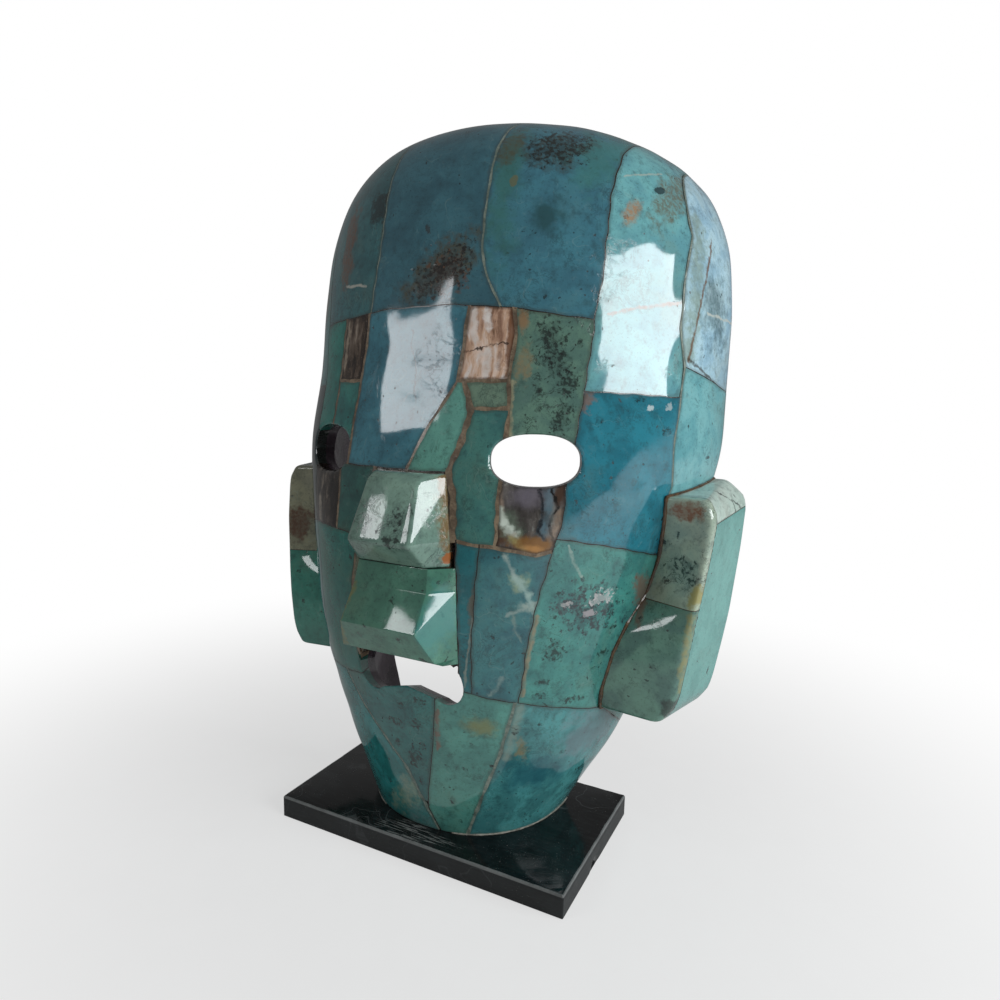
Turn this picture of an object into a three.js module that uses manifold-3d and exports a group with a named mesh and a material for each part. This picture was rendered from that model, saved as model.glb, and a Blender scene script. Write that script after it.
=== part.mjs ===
// Stone-mosaic mask with abalone inlays, standing on a polished slab.
// Millimetres. +X is the viewer's right, the face looks towards -Y, +Z is up.
// The origin is the middle of the slab's underside.

import * as THREE from 'three';
import { mergeVertices } from 'three/addons/utils/BufferGeometryUtils.js';
import Module from 'manifold-3d';

const wasm = await Module();
wasm.setup();

// Slab
const SLAB_WIDTH = 138;
const SLAB_DEPTH = 77;
const SLAB_HEIGHT = 10;
const SLAB_ARRIS = 0.8;

// Outer surface of the mask: half width and front depth at six heights, then a rounded crown
const FACE_STATIONS = [
  { z: 10, half: 46, front: -27 },
  { z: 50, half: 67, front: -35.5 },
  { z: 90, half: 78.5, front: -46.5 },
  { z: 130, half: 89, front: -45.5 },
  { z: 170, half: 98, front: -39 },
  { z: 205, half: 98, front: -30 },
];
const BROW_HEIGHT = 205;
const CROWN_HEIGHT = 307;
const CROWN_ROUNDING_ACROSS = 3.2;
const CROWN_ROUNDING_BACK = 4.5;
const SECTION_SQUARENESS = 2.2;
const RIM_DEPTH = 59;
const RIM_LEAN = 0.19;
const RIM_BOW = -0.0005;
const RIM_MIDDLE = 150;

// Wall: stone skin, bed of resin, backing shell
const FIT_GAP = 0.3;
const CHIN_HEIGHT = SLAB_HEIGHT + FIT_GAP;
const STONE_THICKNESS = 5;
const BED_GAP = 1.3;
const SHELL_THICKNESS = 3.2;
const SHELL_FACE = STONE_THICKNESS + BED_GAP;
const SHELL_BACK = SHELL_FACE + SHELL_THICKNESS;
const HAIRLINE = 0.4;
const VEIN = 1.4;
const WIDE_VEIN = 2.6;
const CELL = 11;

// Openings
const EYE = { x: 48.2, y: -28.1, z: 170.2, halfWidth: 16.8, halfHeight: 9.8, squareness: 2.4, turn: 25 };
const EYE_CORNERS = 26;
const EYE_LENGTH = 60;
const EYE_DROP = 0.06;
const ARC_CORNERS = 10;
const MOUTH = { x: 2.7, y: -43, z: 84.4, reach: 16.3, lobeWidth: 7.3, lobeHeight: 8.6, lipRise: -4.1 };
const MOUTH_LENGTH = 60;
const MOUTH_DROP = 0.36;
const LIP_CORNER = 125;

// Nose: half width and front depth of the ridge line, from the top down, for its two blocks
const NOSE_TOP = 165;
const NOSE_UPPER = [
  { z: 164.7, half: 10.8, y: -46 },
  { z: 162.6, half: 11, y: -49.7 },
  { z: 139.9, half: 13.6, y: -59.4 },
  { z: 130.5, half: 14.8, y: -50.4 },
];
const NOSE_LOWER = [
  { z: 130.1, half: 15.6, y: -49.5 },
  { z: 121.5, half: 16.3, y: -51.8 },
  { z: 108.3, half: 16.6, y: -60 },
  { z: 96, half: 21, y: -53 },
  { z: 93.6, half: 21.6, y: -48 },
];

// Ears: at each height the ridge of the front face, the line where it meets the mask, and
// the half width at the back
const EAR_SECTIONS = [
  { z: 67, ridge: [90, -1], seat: [66.4, 2.8], back: 98 },
  { z: 70, ridge: [94, -1], seat: [66.6, 1.5], back: 103 },
  { z: 77, ridge: [97, -0.5], seat: [67.5, 0.3], back: 105 },
  { z: 92, ridge: [99.3, 0.2], seat: [71, 1.3], back: 107.3 },
  { z: 104, ridge: [101, 1.5], seat: [75, 6], back: 108.9 },
  { z: 115, ridge: [102.5, 3], seat: [80, 14.2], back: 109.7 },
  { z: 130, ridge: [104.5, 5], seat: [84, 16.3], back: 110.8 },
  { z: 147, ridge: [106, 8.2], seat: [86, 13.5], back: 111.4 },
  { z: 152.5, ridge: [105.2, 8.8], seat: [86.4, 12.2], back: 108.5 },
  { z: 155.5, ridge: [102, 10], seat: [86.7, 11.7], back: 100 },
];
const EAR_BACK_HEIGHTS = { foot: 65, top: 159 };
const EAR_BACK_INSET = 3;
const EAR_ROOT = 16;
const EAR_ARRIS = 3;
const EAR_ARRIS_DROP = 0.9;
const EAR_FACE_THICKNESS = 4.6;
const EAR_FRONT_JOINT = 113.4;
const EAR_CAP_JOINT = 146;
const EAR_JOINTS = [EAR_FRONT_JOINT, EAR_CAP_JOINT].flatMap((z) => [z - FIT_GAP / 2, z + FIT_GAP / 2]);

const STONE = {
  blue: 0x2f6378,
  deepBlue: 0x2b566b,
  brightBlue: 0x377f92,
  teal: 0x3f7c78,
  darkTeal: 0x2c5a5c,
  green: 0x4a7163,
  paleTeal: 0x6fa3a0,
  olive: 0x5d6f5c,
};
const ABALONE_COLOUR = 0x8a6a58;
const RESIN_COLOUR = 0x4c434b;
const SLAB_COLOUR = 0x15171a;

const HALF_TURN = Math.PI / 2;
const PROBE = 0.05;
const RIM_BAND = 0.02;
const THIN = 0.02;
const CHIN_BLEND = 40;
const SETTLING_STEPS = 8;
const RIM = 1000;
const mix = THREE.MathUtils.lerp;
const mask = new THREE.Group();
mask.name = 'mask';

// Smooth curve through the stations, reaching the brow with a given slope
function alongFace(key, z, browSlope) {
  const last = FACE_STATIONS.length - 1;
  const slopes = [];
  for (let i = 0; i < last; i += 1) {
    const [low, high] = [FACE_STATIONS[i], FACE_STATIONS[i + 1]];
    slopes.push((high[key] - low[key]) / (high.z - low.z));
  }
  const tangent = (i) => {
    if (i === last) return browSlope;
    return i === 0 ? slopes[0] : (slopes[i - 1] + slopes[i]) / 2;
  };
  let i = 0;
  while (i < last - 1 && z > FACE_STATIONS[i + 1].z) i += 1;
  const [low, high] = [FACE_STATIONS[i], FACE_STATIONS[i + 1]];
  const span = high.z - low.z;
  const t = (z - low.z) / span;
  const rise = t * t * (3 - 2 * t);
  const lead = t * (1 - t) * (1 - t) * span * tangent(i);
  const trail = t * t * (t - 1) * span * tangent(i + 1);
  return low[key] + (high[key] - low[key]) * rise + lead + trail;
}

function rimDepth(z) {
  const h = z - RIM_MIDDLE;
  return RIM_DEPTH + RIM_LEAN * h + RIM_BOW * h * h;
}

// Horizontal section at a height: half width, front depth and rim depth
function section(z) {
  const rim = rimDepth(z);
  const rimSlope = RIM_LEAN + 2 * RIM_BOW * (BROW_HEIGHT - RIM_MIDDLE);
  if (z <= BROW_HEIGHT) {
    return { half: alongFace('half', z, 0), front: alongFace('front', z, rimSlope), rim };
  }
  const brow = FACE_STATIONS[FACE_STATIONS.length - 1];
  const rise = Math.min((z - BROW_HEIGHT) / (CROWN_HEIGHT - BROW_HEIGHT), 1);
  const across = (1 - rise ** CROWN_ROUNDING_ACROSS) ** (1 / CROWN_ROUNDING_ACROSS);
  const back = (1 - rise ** CROWN_ROUNDING_BACK) ** (1 / CROWN_ROUNDING_BACK);
  const browDepth = rimDepth(BROW_HEIGHT) - brow.front;
  return { half: brow.half * across, front: rim - browDepth * back, rim };
}

// Point of the outer surface: turn is 0 at the middle of the face and a right angle at the rim
function facePoint(turn, z) {
  const { half, front, rim } = section(z);
  const power = 2 / SECTION_SQUARENESS;
  const x = half * Math.sign(turn) * Math.abs(Math.sin(turn)) ** power;
  const y = rim - (rim - front) * Math.max(Math.cos(turn), 0) ** power;
  return new THREE.Vector3(x, y, z);
}

function turnAtX(x, z) {
  const share = Math.min(Math.abs(x) / Math.max(section(z).half, 1e-6), 1);
  return Math.sign(x) * Math.asin(share ** (SECTION_SQUARENESS / 2));
}

// Height at which the rim's outline reaches a distance from the middle
function rimHeight(xAt) {
  let [low, high] = [BROW_HEIGHT, CROWN_HEIGHT];
  for (let i = 0; i < 40; i += 1) {
    const z = (low + high) / 2;
    if (section(z).half > Math.abs(xAt(z))) low = z;
    else high = z;
  }
  return (low + high) / 2;
}

function surfaceLevel(x, y, z) {
  const { half, front, rim } = section(z);
  const across = Math.abs(x) / Math.max(half, THIN);
  const back = Math.max(rim - y, 0) / Math.max(rim - front, THIN);
  return across ** SECTION_SQUARENESS + back ** SECTION_SQUARENESS;
}

// Outward direction of the surface, level with the slab near the chin
function outward(p) {
  const n = new THREE.Vector3();
  if (section(p.z).rim - p.y < RIM_BAND) {
    const slope = (section(p.z + PROBE).half - section(p.z - PROBE).half) / (2 * PROBE);
    n.set(Math.abs(p.x) < THIN ? 0 : Math.sign(p.x), 0, -slope);
  } else {
    n.set(
      surfaceLevel(p.x + PROBE, p.y, p.z) - surfaceLevel(p.x - PROBE, p.y, p.z),
      surfaceLevel(p.x, p.y + PROBE, p.z) - surfaceLevel(p.x, p.y - PROBE, p.z),
      surfaceLevel(p.x, p.y, p.z + PROBE) - surfaceLevel(p.x, p.y, p.z - PROBE),
    );
  }
  n.normalize();
  n.z *= THREE.MathUtils.smoothstep(p.z, CHIN_HEIGHT, CHIN_HEIGHT + CHIN_BLEND);
  return n.normalize();
}

function sunk(p, depth) {
  return p.clone().addScaledVector(outward(p), -depth);
}

// Closed body between a front grid and a back grid of the same rows and columns
function bodyBetween(front, back) {
  const rows = front.length;
  const columns = front[0].length;
  const points = [...front.flat(), ...back.flat()];
  const at = (layer, row, column) => layer * rows * columns + row * columns + column;
  const faces = [];
  const quad = (a, b, c, d) => faces.push(a, b, c, a, c, d);
  for (let r = 0; r < rows - 1; r += 1) {
    for (let c = 0; c < columns - 1; c += 1) {
      quad(at(0, r, c), at(0, r, c + 1), at(0, r + 1, c + 1), at(0, r + 1, c));
      quad(at(1, r, c), at(1, r + 1, c), at(1, r + 1, c + 1), at(1, r, c + 1));
    }
    quad(at(0, r, 0), at(0, r + 1, 0), at(1, r + 1, 0), at(1, r, 0));
    const end = columns - 1;
    quad(at(0, r, end), at(1, r, end), at(1, r + 1, end), at(0, r + 1, end));
  }
  for (let c = 0; c < columns - 1; c += 1) {
    const top = rows - 1;
    quad(at(0, 0, c), at(1, 0, c), at(1, 0, c + 1), at(0, 0, c + 1));
    quad(at(0, top, c), at(0, top, c + 1), at(1, top, c + 1), at(1, top, c));
  }
  const geometry = new THREE.BufferGeometry();
  const numbers = points.flatMap((p) => [p.x, p.y, p.z]);
  geometry.setAttribute('position', new THREE.Float32BufferAttribute(numbers, 3));
  geometry.setIndex(faces);
  return solidOf(geometry);
}

// Merged vertices without collapsed triangles, as a solid
function solidOf(source) {
  const geometry = source.index ? source : mergeVertices(source);
  geometry.deleteAttribute('normal');
  geometry.deleteAttribute('uv');
  const merged = mergeVertices(geometry, 1e-4);
  const index = merged.index.array;
  const kept = [];
  for (let i = 0; i < index.length; i += 3) {
    const [a, b, c] = [index[i], index[i + 1], index[i + 2]];
    if (a !== b && b !== c && c !== a) kept.push(a, b, c);
  }
  const vertProperties = new Float32Array(merged.attributes.position.array);
  const triVerts = new Uint32Array(kept);
  return new wasm.Manifold(new wasm.Mesh({ numProp: 3, vertProperties, triVerts }));
}

function addPiece(name, solid, colour, roughness = 0.25) {
  const { vertProperties, triVerts } = solid.getMesh();
  const geometry = new THREE.BufferGeometry();
  geometry.setAttribute('position', new THREE.Float32BufferAttribute(vertProperties, 3));
  geometry.setIndex([...triVerts]);
  geometry.computeVertexNormals();
  const material = new THREE.MeshStandardMaterial({ color: colour, roughness, metalness: 0 });
  const mesh = new THREE.Mesh(geometry, material);
  mesh.name = name;
  mask.add(mesh);
}

// Piecewise straight value through [position, value] places
function along(places, at) {
  let i = 0;
  while (i < places.length - 2 && at > places[i + 1][0]) i += 1;
  const [[a, low], [b, high]] = [places[i], places[i + 1]];
  return mix(low, high, THREE.MathUtils.clamp((at - a) / (b - a), 0, 1));
}

// Upright seam through [x, z] places, listed from the lowest up
function seam(places, gap = HAIRLINE) {
  const byHeight = places.map(([x, z]) => [z, x]);
  const xAt = (z) => along(byHeight, z);
  return { xAt, gap, turn: (z) => turnAtX(xAt(z), z) };
}

function rimEdge(side) {
  return { gap: 0, turn: () => side * HALF_TURN };
}

// Level joint through [x, z] places, listed from the viewer's left; RIM stands for the rim itself
function joint(places, gap = HAIRLINE) {
  const byTurn = places.map(([x, z]) => [turnAtX(x, z), z]);
  return { gap, heightAt: (turn) => along(byTurn, turn) };
}

// Height at which a column of a stone, whose turn depends on height, meets a joint
function meeting(edge, turnOf) {
  let z = edge.heightAt(turnOf(NOSE_TOP));
  for (let i = 0; i < SETTLING_STEPS; i += 1) z = edge.heightAt(turnOf(z));
  return z;
}

// Turn moved along the section by a distance
function shifted(turn, z, distance) {
  if (distance === 0) return turn;
  const step = 1e-3;
  const length = facePoint(turn + step, z).distanceTo(facePoint(turn - step, z)) / (2 * step);
  return turn + distance / Math.max(length, 1);
}

// Stone set between two seams, from a lower joint to an upper one
function panel(left, right, low, high) {
  const startAt = (z) => shifted(left.turn(z), z, left.gap / 2);
  const stopAt = (z) => Math.max(shifted(right.turn(z), z, -right.gap / 2), startAt(z));
  const column = (across) => (z) => mix(startAt(z), stopAt(z), across);
  const foot = (across) => meeting(low, column(across)) + low.gap / 2;
  const head = (across) => meeting(high, column(across)) - high.gap / 2;
  const [lowest, highest] = [foot(0.5), head(0.5)];
  const middle = mix(lowest, highest, 0.5);
  const width = facePoint(startAt(middle), middle).distanceTo(facePoint(stopAt(middle), middle));
  const columns = Math.max(2, Math.ceil(width / CELL));
  const rows = Math.max(2, Math.ceil((highest - lowest) / CELL));
  const [front, back] = [[], []];
  for (let r = 0; r <= rows; r += 1) {
    front.push([]);
    back.push([]);
    for (let c = 0; c <= columns; c += 1) {
      const across = c / columns;
      const z = mix(foot(across), head(across), r / rows);
      const p = facePoint(column(across)(z), z);
      front[r].push(p);
      back[r].push(sunk(p, STONE_THICKNESS));
    }
  }
  return bodyBetween(front, back);
}

// Stone of the crown, from a lower joint over the top to the rim
function crownPanel(left, right, low) {
  const leftX = (z) => left.xAt(z) + left.gap / 2;
  const rightX = (z) => right.xAt(z) - right.gap / 2;
  const columns = Math.ceil((rightX(BROW_HEIGHT) - leftX(BROW_HEIGHT)) / CELL);
  const rows = Math.ceil((CROWN_HEIGHT - low.heightAt(0) + RIM_DEPTH) / CELL);
  const [front, back] = [[], []];
  for (let r = 0; r <= rows; r += 1) {
    front.push([]);
    back.push([]);
    for (let c = 0; c <= columns; c += 1) {
      const xAt = (z) => mix(leftX(z), rightX(z), c / columns);
      const foot = meeting(low, (z) => turnAtX(xAt(z), z)) + low.gap / 2;
      const z = mix(foot, rimHeight(xAt), Math.sin((r / rows) * HALF_TURN));
      const turn = r === rows ? (Math.sign(xAt(z)) || 1) * HALF_TURN : turnAtX(xAt(z), z);
      const p = facePoint(turn, z);
      front[r].push(p);
      back[r].push(sunk(p, STONE_THICKNESS));
    }
  }
  return bodyBetween(front, back);
}

// Backing shell, open at the back
function backingShell() {
  const columns = 20;
  const lowerRows = 13;
  const crownRows = 8;
  const [front, back] = [[], []];
  for (let r = 0; r <= lowerRows + crownRows; r += 1) {
    const crown = Math.sin(((r - lowerRows) / crownRows) * HALF_TURN);
    const z = r <= lowerRows
      ? mix(CHIN_HEIGHT, BROW_HEIGHT, r / lowerRows)
      : mix(BROW_HEIGHT, CROWN_HEIGHT, crown);
    front.push([]);
    back.push([]);
    for (let c = 0; c <= columns; c += 1) {
      const p = facePoint(mix(-HALF_TURN, HALF_TURN, c / columns), z);
      front[r].push(sunk(p, SHELL_FACE));
      back[r].push(sunk(p, SHELL_BACK));
    }
  }
  return bodyBetween(front, back);
}

// Solid of the mask's outer form, swollen by the fitting gap, that the ears are fitted against
function outerForm() {
  const columns = 28;
  const rows = 18;
  const [foot, top] = [CHIN_HEIGHT + 40, BROW_HEIGHT - 20];
  const [front, back] = [[], []];
  for (let r = 0; r <= rows; r += 1) {
    const z = mix(foot, top, r / rows);
    front.push([]);
    back.push([]);
    for (let c = 0; c <= columns; c += 1) {
      const p = facePoint(mix(-HALF_TURN, HALF_TURN, c / columns), z);
      const q = sunk(p, -FIT_GAP);
      front[r].push(q);
      back[r].push(new THREE.Vector3(q.x, rimDepth(z) + 20, z));
    }
  }
  return bodyBetween(front, back);
}

// Hole: a flat outline in x and height, pushed through the wall around a place
function hole(outline, length, place, turnDegrees, drop) {
  const options = { depth: length, bevelEnabled: false, curveSegments: ARC_CORNERS };
  const geometry = new THREE.ExtrudeGeometry(outline, options);
  geometry.rotateX(HALF_TURN);
  geometry.translate(0, length / 2, 0);
  geometry.applyMatrix4(new THREE.Matrix4().makeShear(0, 0, 0, -drop, 0, 0));
  geometry.rotateZ(THREE.MathUtils.degToRad(turnDegrees));
  geometry.translate(place.x, place.y, place.z);
  return solidOf(geometry);
}

function eyeHole(side) {
  const outline = new THREE.Shape();
  const power = 2 / EYE.squareness;
  for (let i = 0; i < EYE_CORNERS; i += 1) {
    const angle = (i / EYE_CORNERS) * Math.PI * 2;
    const [c, s] = [Math.cos(angle), Math.sin(angle)];
    const x = EYE.halfWidth * Math.sign(c) * Math.abs(c) ** power;
    const z = EYE.halfHeight * Math.sign(s) * Math.abs(s) ** power;
    if (i === 0) outline.moveTo(x, z);
    else outline.lineTo(x, z);
  }
  const place = { x: side * EYE.x, y: EYE.y, z: EYE.z };
  return hole(outline, EYE_LENGTH, place, side * EYE.turn, EYE_DROP);
}

// Mouth with a lobe at each end and a lower lip that rises between them
function mouthHole() {
  const { reach, lobeWidth, lobeHeight, lipRise } = MOUTH;
  const lip = THREE.MathUtils.degToRad(LIP_CORNER);
  const outline = new THREE.Shape();
  outline.moveTo(0, lipRise);
  outline.absellipse(reach, 0, lobeWidth, lobeHeight, -lip, HALF_TURN, false);
  outline.absellipse(-reach, 0, lobeWidth, lobeHeight, HALF_TURN, Math.PI + lip, false);
  return hole(outline, MOUTH_LENGTH, MOUTH, 0, MOUTH_DROP);
}

// Nose block through its ridge places, from the seam on one side to the seam on the other
function noseBlock(places, left, right) {
  const [front, back] = [[], []];
  for (const { z, half, y } of [...places].reverse()) {
    const start = facePoint(shifted(left.turn(z), z, left.gap / 2), z);
    const stop = facePoint(shifted(right.turn(z), z, -right.gap / 2), z);
    const ridges = [-half, 0, half].map((x) => new THREE.Vector3(x, y, z));
    front.push([start, ...ridges, stop]);
    const under = [start, ...[-half, 0, half].map((x) => facePoint(turnAtX(x, z), z)), stop];
    back.push(under.map((p) => sunk(p, STONE_THICKNESS)));
  }
  return bodyBetween(front, back);
}

// Places of an ear at a height: the front row and the back row, from the root outwards
function earRows(z) {
  const at = (pick) => along(EAR_SECTIONS.map((place) => [place.z, pick(place)]), z);
  const [ridgeX, ridgeY] = [at((p) => p.ridge[0]), at((p) => p.ridge[1])];
  const [seatX, seatY] = [at((p) => p.seat[0]), at((p) => p.seat[1])];
  const slope = (ridgeY - seatY) / (ridgeX - seatX);
  const [foot, top] = [EAR_SECTIONS[0].z, EAR_SECTIONS[EAR_SECTIONS.length - 1].z];
  const backZ = mix(EAR_BACK_HEIGHTS.foot, EAR_BACK_HEIGHTS.top, (z - foot) / (top - foot));
  const backY = rimDepth(backZ) - EAR_BACK_INSET;
  const backX = at((p) => p.back);
  const rootX = seatX - EAR_ROOT;
  const front = [
    new THREE.Vector3(rootX, seatY - EAR_ROOT * slope, z),
    new THREE.Vector3(ridgeX - EAR_ARRIS, ridgeY - EAR_ARRIS * slope, z),
    new THREE.Vector3(ridgeX, ridgeY + EAR_ARRIS_DROP, z),
  ];
  const back = [rootX, backX - EAR_ARRIS, backX].map((x) => new THREE.Vector3(x, backY, backZ));
  return { front, back };
}

// Part of an ear between two heights and between two distances behind its front face
function earPart(side, [foot, top], [near, far], form) {
  const stations = [...EAR_SECTIONS.map((place) => place.z), ...EAR_JOINTS];
  const heights = stations.filter((z) => z > foot && z < top).sort((a, b) => a - b);
  const [front, back] = [[], []];
  for (const z of [foot, ...heights, top]) {
    const rows = earRows(z);
    const slice = (distance) => rows.front.map((p, i) => {
      const reach = rows.back[i].clone().sub(p);
      return p.clone().addScaledVector(reach, distance === null ? 1 : distance / reach.y);
    });
    front.push(slice(near));
    back.push(slice(far));
  }
  const block = bodyBetween(front, back);
  return (side > 0 ? block : block.mirror([1, 0, 0])).subtract(form);
}

// Polished slab with a worn arris around its top
function slab() {
  const rings = [[0, 0], [SLAB_HEIGHT - SLAB_ARRIS, 0], [SLAB_HEIGHT, SLAB_ARRIS]];
  const corners = [[-1, -1], [1, -1], [1, 1], [-1, 1]];
  const points = rings.flatMap(([z, inset]) => corners.map(([sx, sy]) => [
    sx * (SLAB_WIDTH / 2 - inset), sy * (SLAB_DEPTH / 2 - inset), z,
  ]));
  const faces = [0, 2, 1, 0, 3, 2, 8, 9, 10, 8, 10, 11];
  for (let ring = 0; ring < 8; ring += 4) {
    for (let i = 0; i < 4; i += 1) {
      const j = (i + 1) % 4;
      faces.push(ring + i, ring + j, ring + j + 4, ring + i, ring + j + 4, ring + i + 4);
    }
  }
  const geometry = new THREE.BufferGeometry();
  geometry.setAttribute('position', new THREE.Float32BufferAttribute(points.flat(), 3));
  geometry.setIndex(faces);
  return solidOf(geometry);
}

// Upright seams of the face, each from its lowest place up
const creasePlaces = [[69.7, 62], [76.7, 90], [84.9, 130], [86.6, 152], [88.4, 159], [88.6, 181],
  [88.8, 193], [89, 206], [87, 222], [87, 257], [80.5, 279], [76, 291]];
const cheekPlaces = [[44.5, 76], [46, 84], [50.5, 113.5], [55.5, 137.3], [57, 142], [58.2, 149],
  [58.8, 161], [60, 170], [60.8, 195], [62, 222], [63.6, 241], [62.3, 290]];
const mirrored = (places) => places.map(([x, z]) => [-x, z]);

const SEAMS = {
  leftRim: rimEdge(-1),
  rightRim: rimEdge(1),
  leftCrease: seam(mirrored(creasePlaces), VEIN),
  rightCrease: seam(creasePlaces, VEIN),
  leftBrow: seam(mirrored(cheekPlaces)),
  rightBrow: seam(cheekPlaces),
  leftInlayOuter: seam([[-47, 168], [-46, 198], [-44, 224]], VEIN),
  leftInlayInner: seam([[-32, 160], [-31, 198], [-28.5, 226]], VEIN),
  leftEyeInner: seam([[-35.5, 132], [-36.5, 170]], VEIN),
  leftCrown: seam([[-28, 226], [-25, 250], [-24.4, 278], [-24, 300]]),
  noseLeft: seam([[-19, 76], [-21, 92], [-24.5, 97], [-24, 112], [-21.5, 139.5], [-15.5, 165]], VEIN),
  noseRight: seam([[24.5, 92], [24, 112], [22, 139.5], [20.3, 157], [17.6, 165.6], [21.1, 176.7],
    [23.2, 187.5], [18.4, 199]], WIDE_VEIN),
  cheekStripLeft: seam([[25, 78], [25.5, 94], [25, 112], [23, 139.5]]),
  cheekStripRight: seam([[29.5, 78], [31.5, 140]], VEIN),
  rightEyeInner: seam([[37, 136], [37, 170]], VEIN),
  browInlay: seam([[38, 170], [37, 187], [35.4, 199], [36.6, 216], [35.5, 226]], VEIN),
  bridge: seam([[-0.9, 164.8], [8.2, 184.7], [16, 198.5], [18.4, 226]], VEIN),
  crownMiddle: seam([[30.8, 225], [24.4, 237], [21.6, 247], [21.6, 300]], VEIN),
  paleVein: seam([[7.8, 10], [-5.3, 39], [-20, 57], [-33, 80]], VEIN),
  chinSpeckle: seam([[8.6, 10], [5, 23], [5.6, 30], [14, 73], [16, 86]]),
  chinMiddle: seam([[19.5, 10], [27.7, 32], [35.8, 52], [44.5, 80]], VEIN),
};

// Level joints, each from the viewer's left to the right
const JOINTS = {
  chin: joint([[-RIM, CHIN_HEIGHT], [RIM, CHIN_HEIGHT]], 0),
  chinFork: joint([[-RIM, 25], [RIM, 25]]),
  jaw: joint([[-RIM, 48], [-68, 57], [-67, 66.3], [-44.5, 77], [-21, 80], [0, 84], [16, 84],
    [26, 82], [35, 79.3], [44.5, 77], [67, 66.3], [68, 57], [RIM, 48]]),
  cheekLeft: joint([[-RIM, 128], [-83.8, 131], [-57, 138], [-35.5, 138.5], [-20, 137.5]]),
  cheekInner: joint([[20, 140.5], [31, 139], [37, 138.6], [50.8, 136], [55.6, 137.3]], VEIN),
  cheekRight: joint([[57, 142], [72, 138], [83.8, 131], [RIM, 128]]),
  bridge: joint([[-37, NOSE_TOP], [20, NOSE_TOP]]),
  eye: joint([[-RIM, EYE.z], [RIM, EYE.z]]),
  earTop: joint([[-RIM, 152], [RIM, 152]]),
  browOlive: joint([[16, 188.4], [40, 189.2]], VEIN),
  inlayFoot: joint([[-50, 198], [16, 198.8], [40, 199.2]], VEIN),
  temple: joint([[-90, 194], [-60, 196], [60, 196], [90, 194]]),
  wall: joint([[-RIM, 196], [-89, 206], [89, 206], [RIM, 196]]),
  forehead: joint([[-62, 222], [-44, 223.5], [-28.5, 225], [-16, 226.5], [13, 227], [31, 226],
    [62, 221.7]]),
};
JOINTS.creaseTop = joint([[-RIM, rimHeight(SEAMS.rightCrease.xAt)],
  [RIM, rimHeight(SEAMS.rightCrease.xAt)]], 0);

const eyes = [eyeHole(-1), eyeHole(1)];
const openings = wasm.Manifold.union([...eyes, mouthHole()]);

const crownStones = [
  ['temple_left', 'leftCrease', 'leftBrow', 'temple', STONE.darkTeal],
  ['crown_left', 'leftBrow', 'leftCrown', 'forehead', STONE.deepBlue],
  ['crown_middle_left', 'leftCrown', 'crownMiddle', 'forehead', STONE.deepBlue],
  ['crown_middle_right', 'crownMiddle', 'rightBrow', 'forehead', STONE.blue],
  ['temple_right', 'rightBrow', 'rightCrease', 'temple', STONE.teal],
];
for (const [name, left, right, low, colour] of crownStones) {
  addPiece(name, crownPanel(SEAMS[left], SEAMS[right], JOINTS[low]), colour);
}

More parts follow.
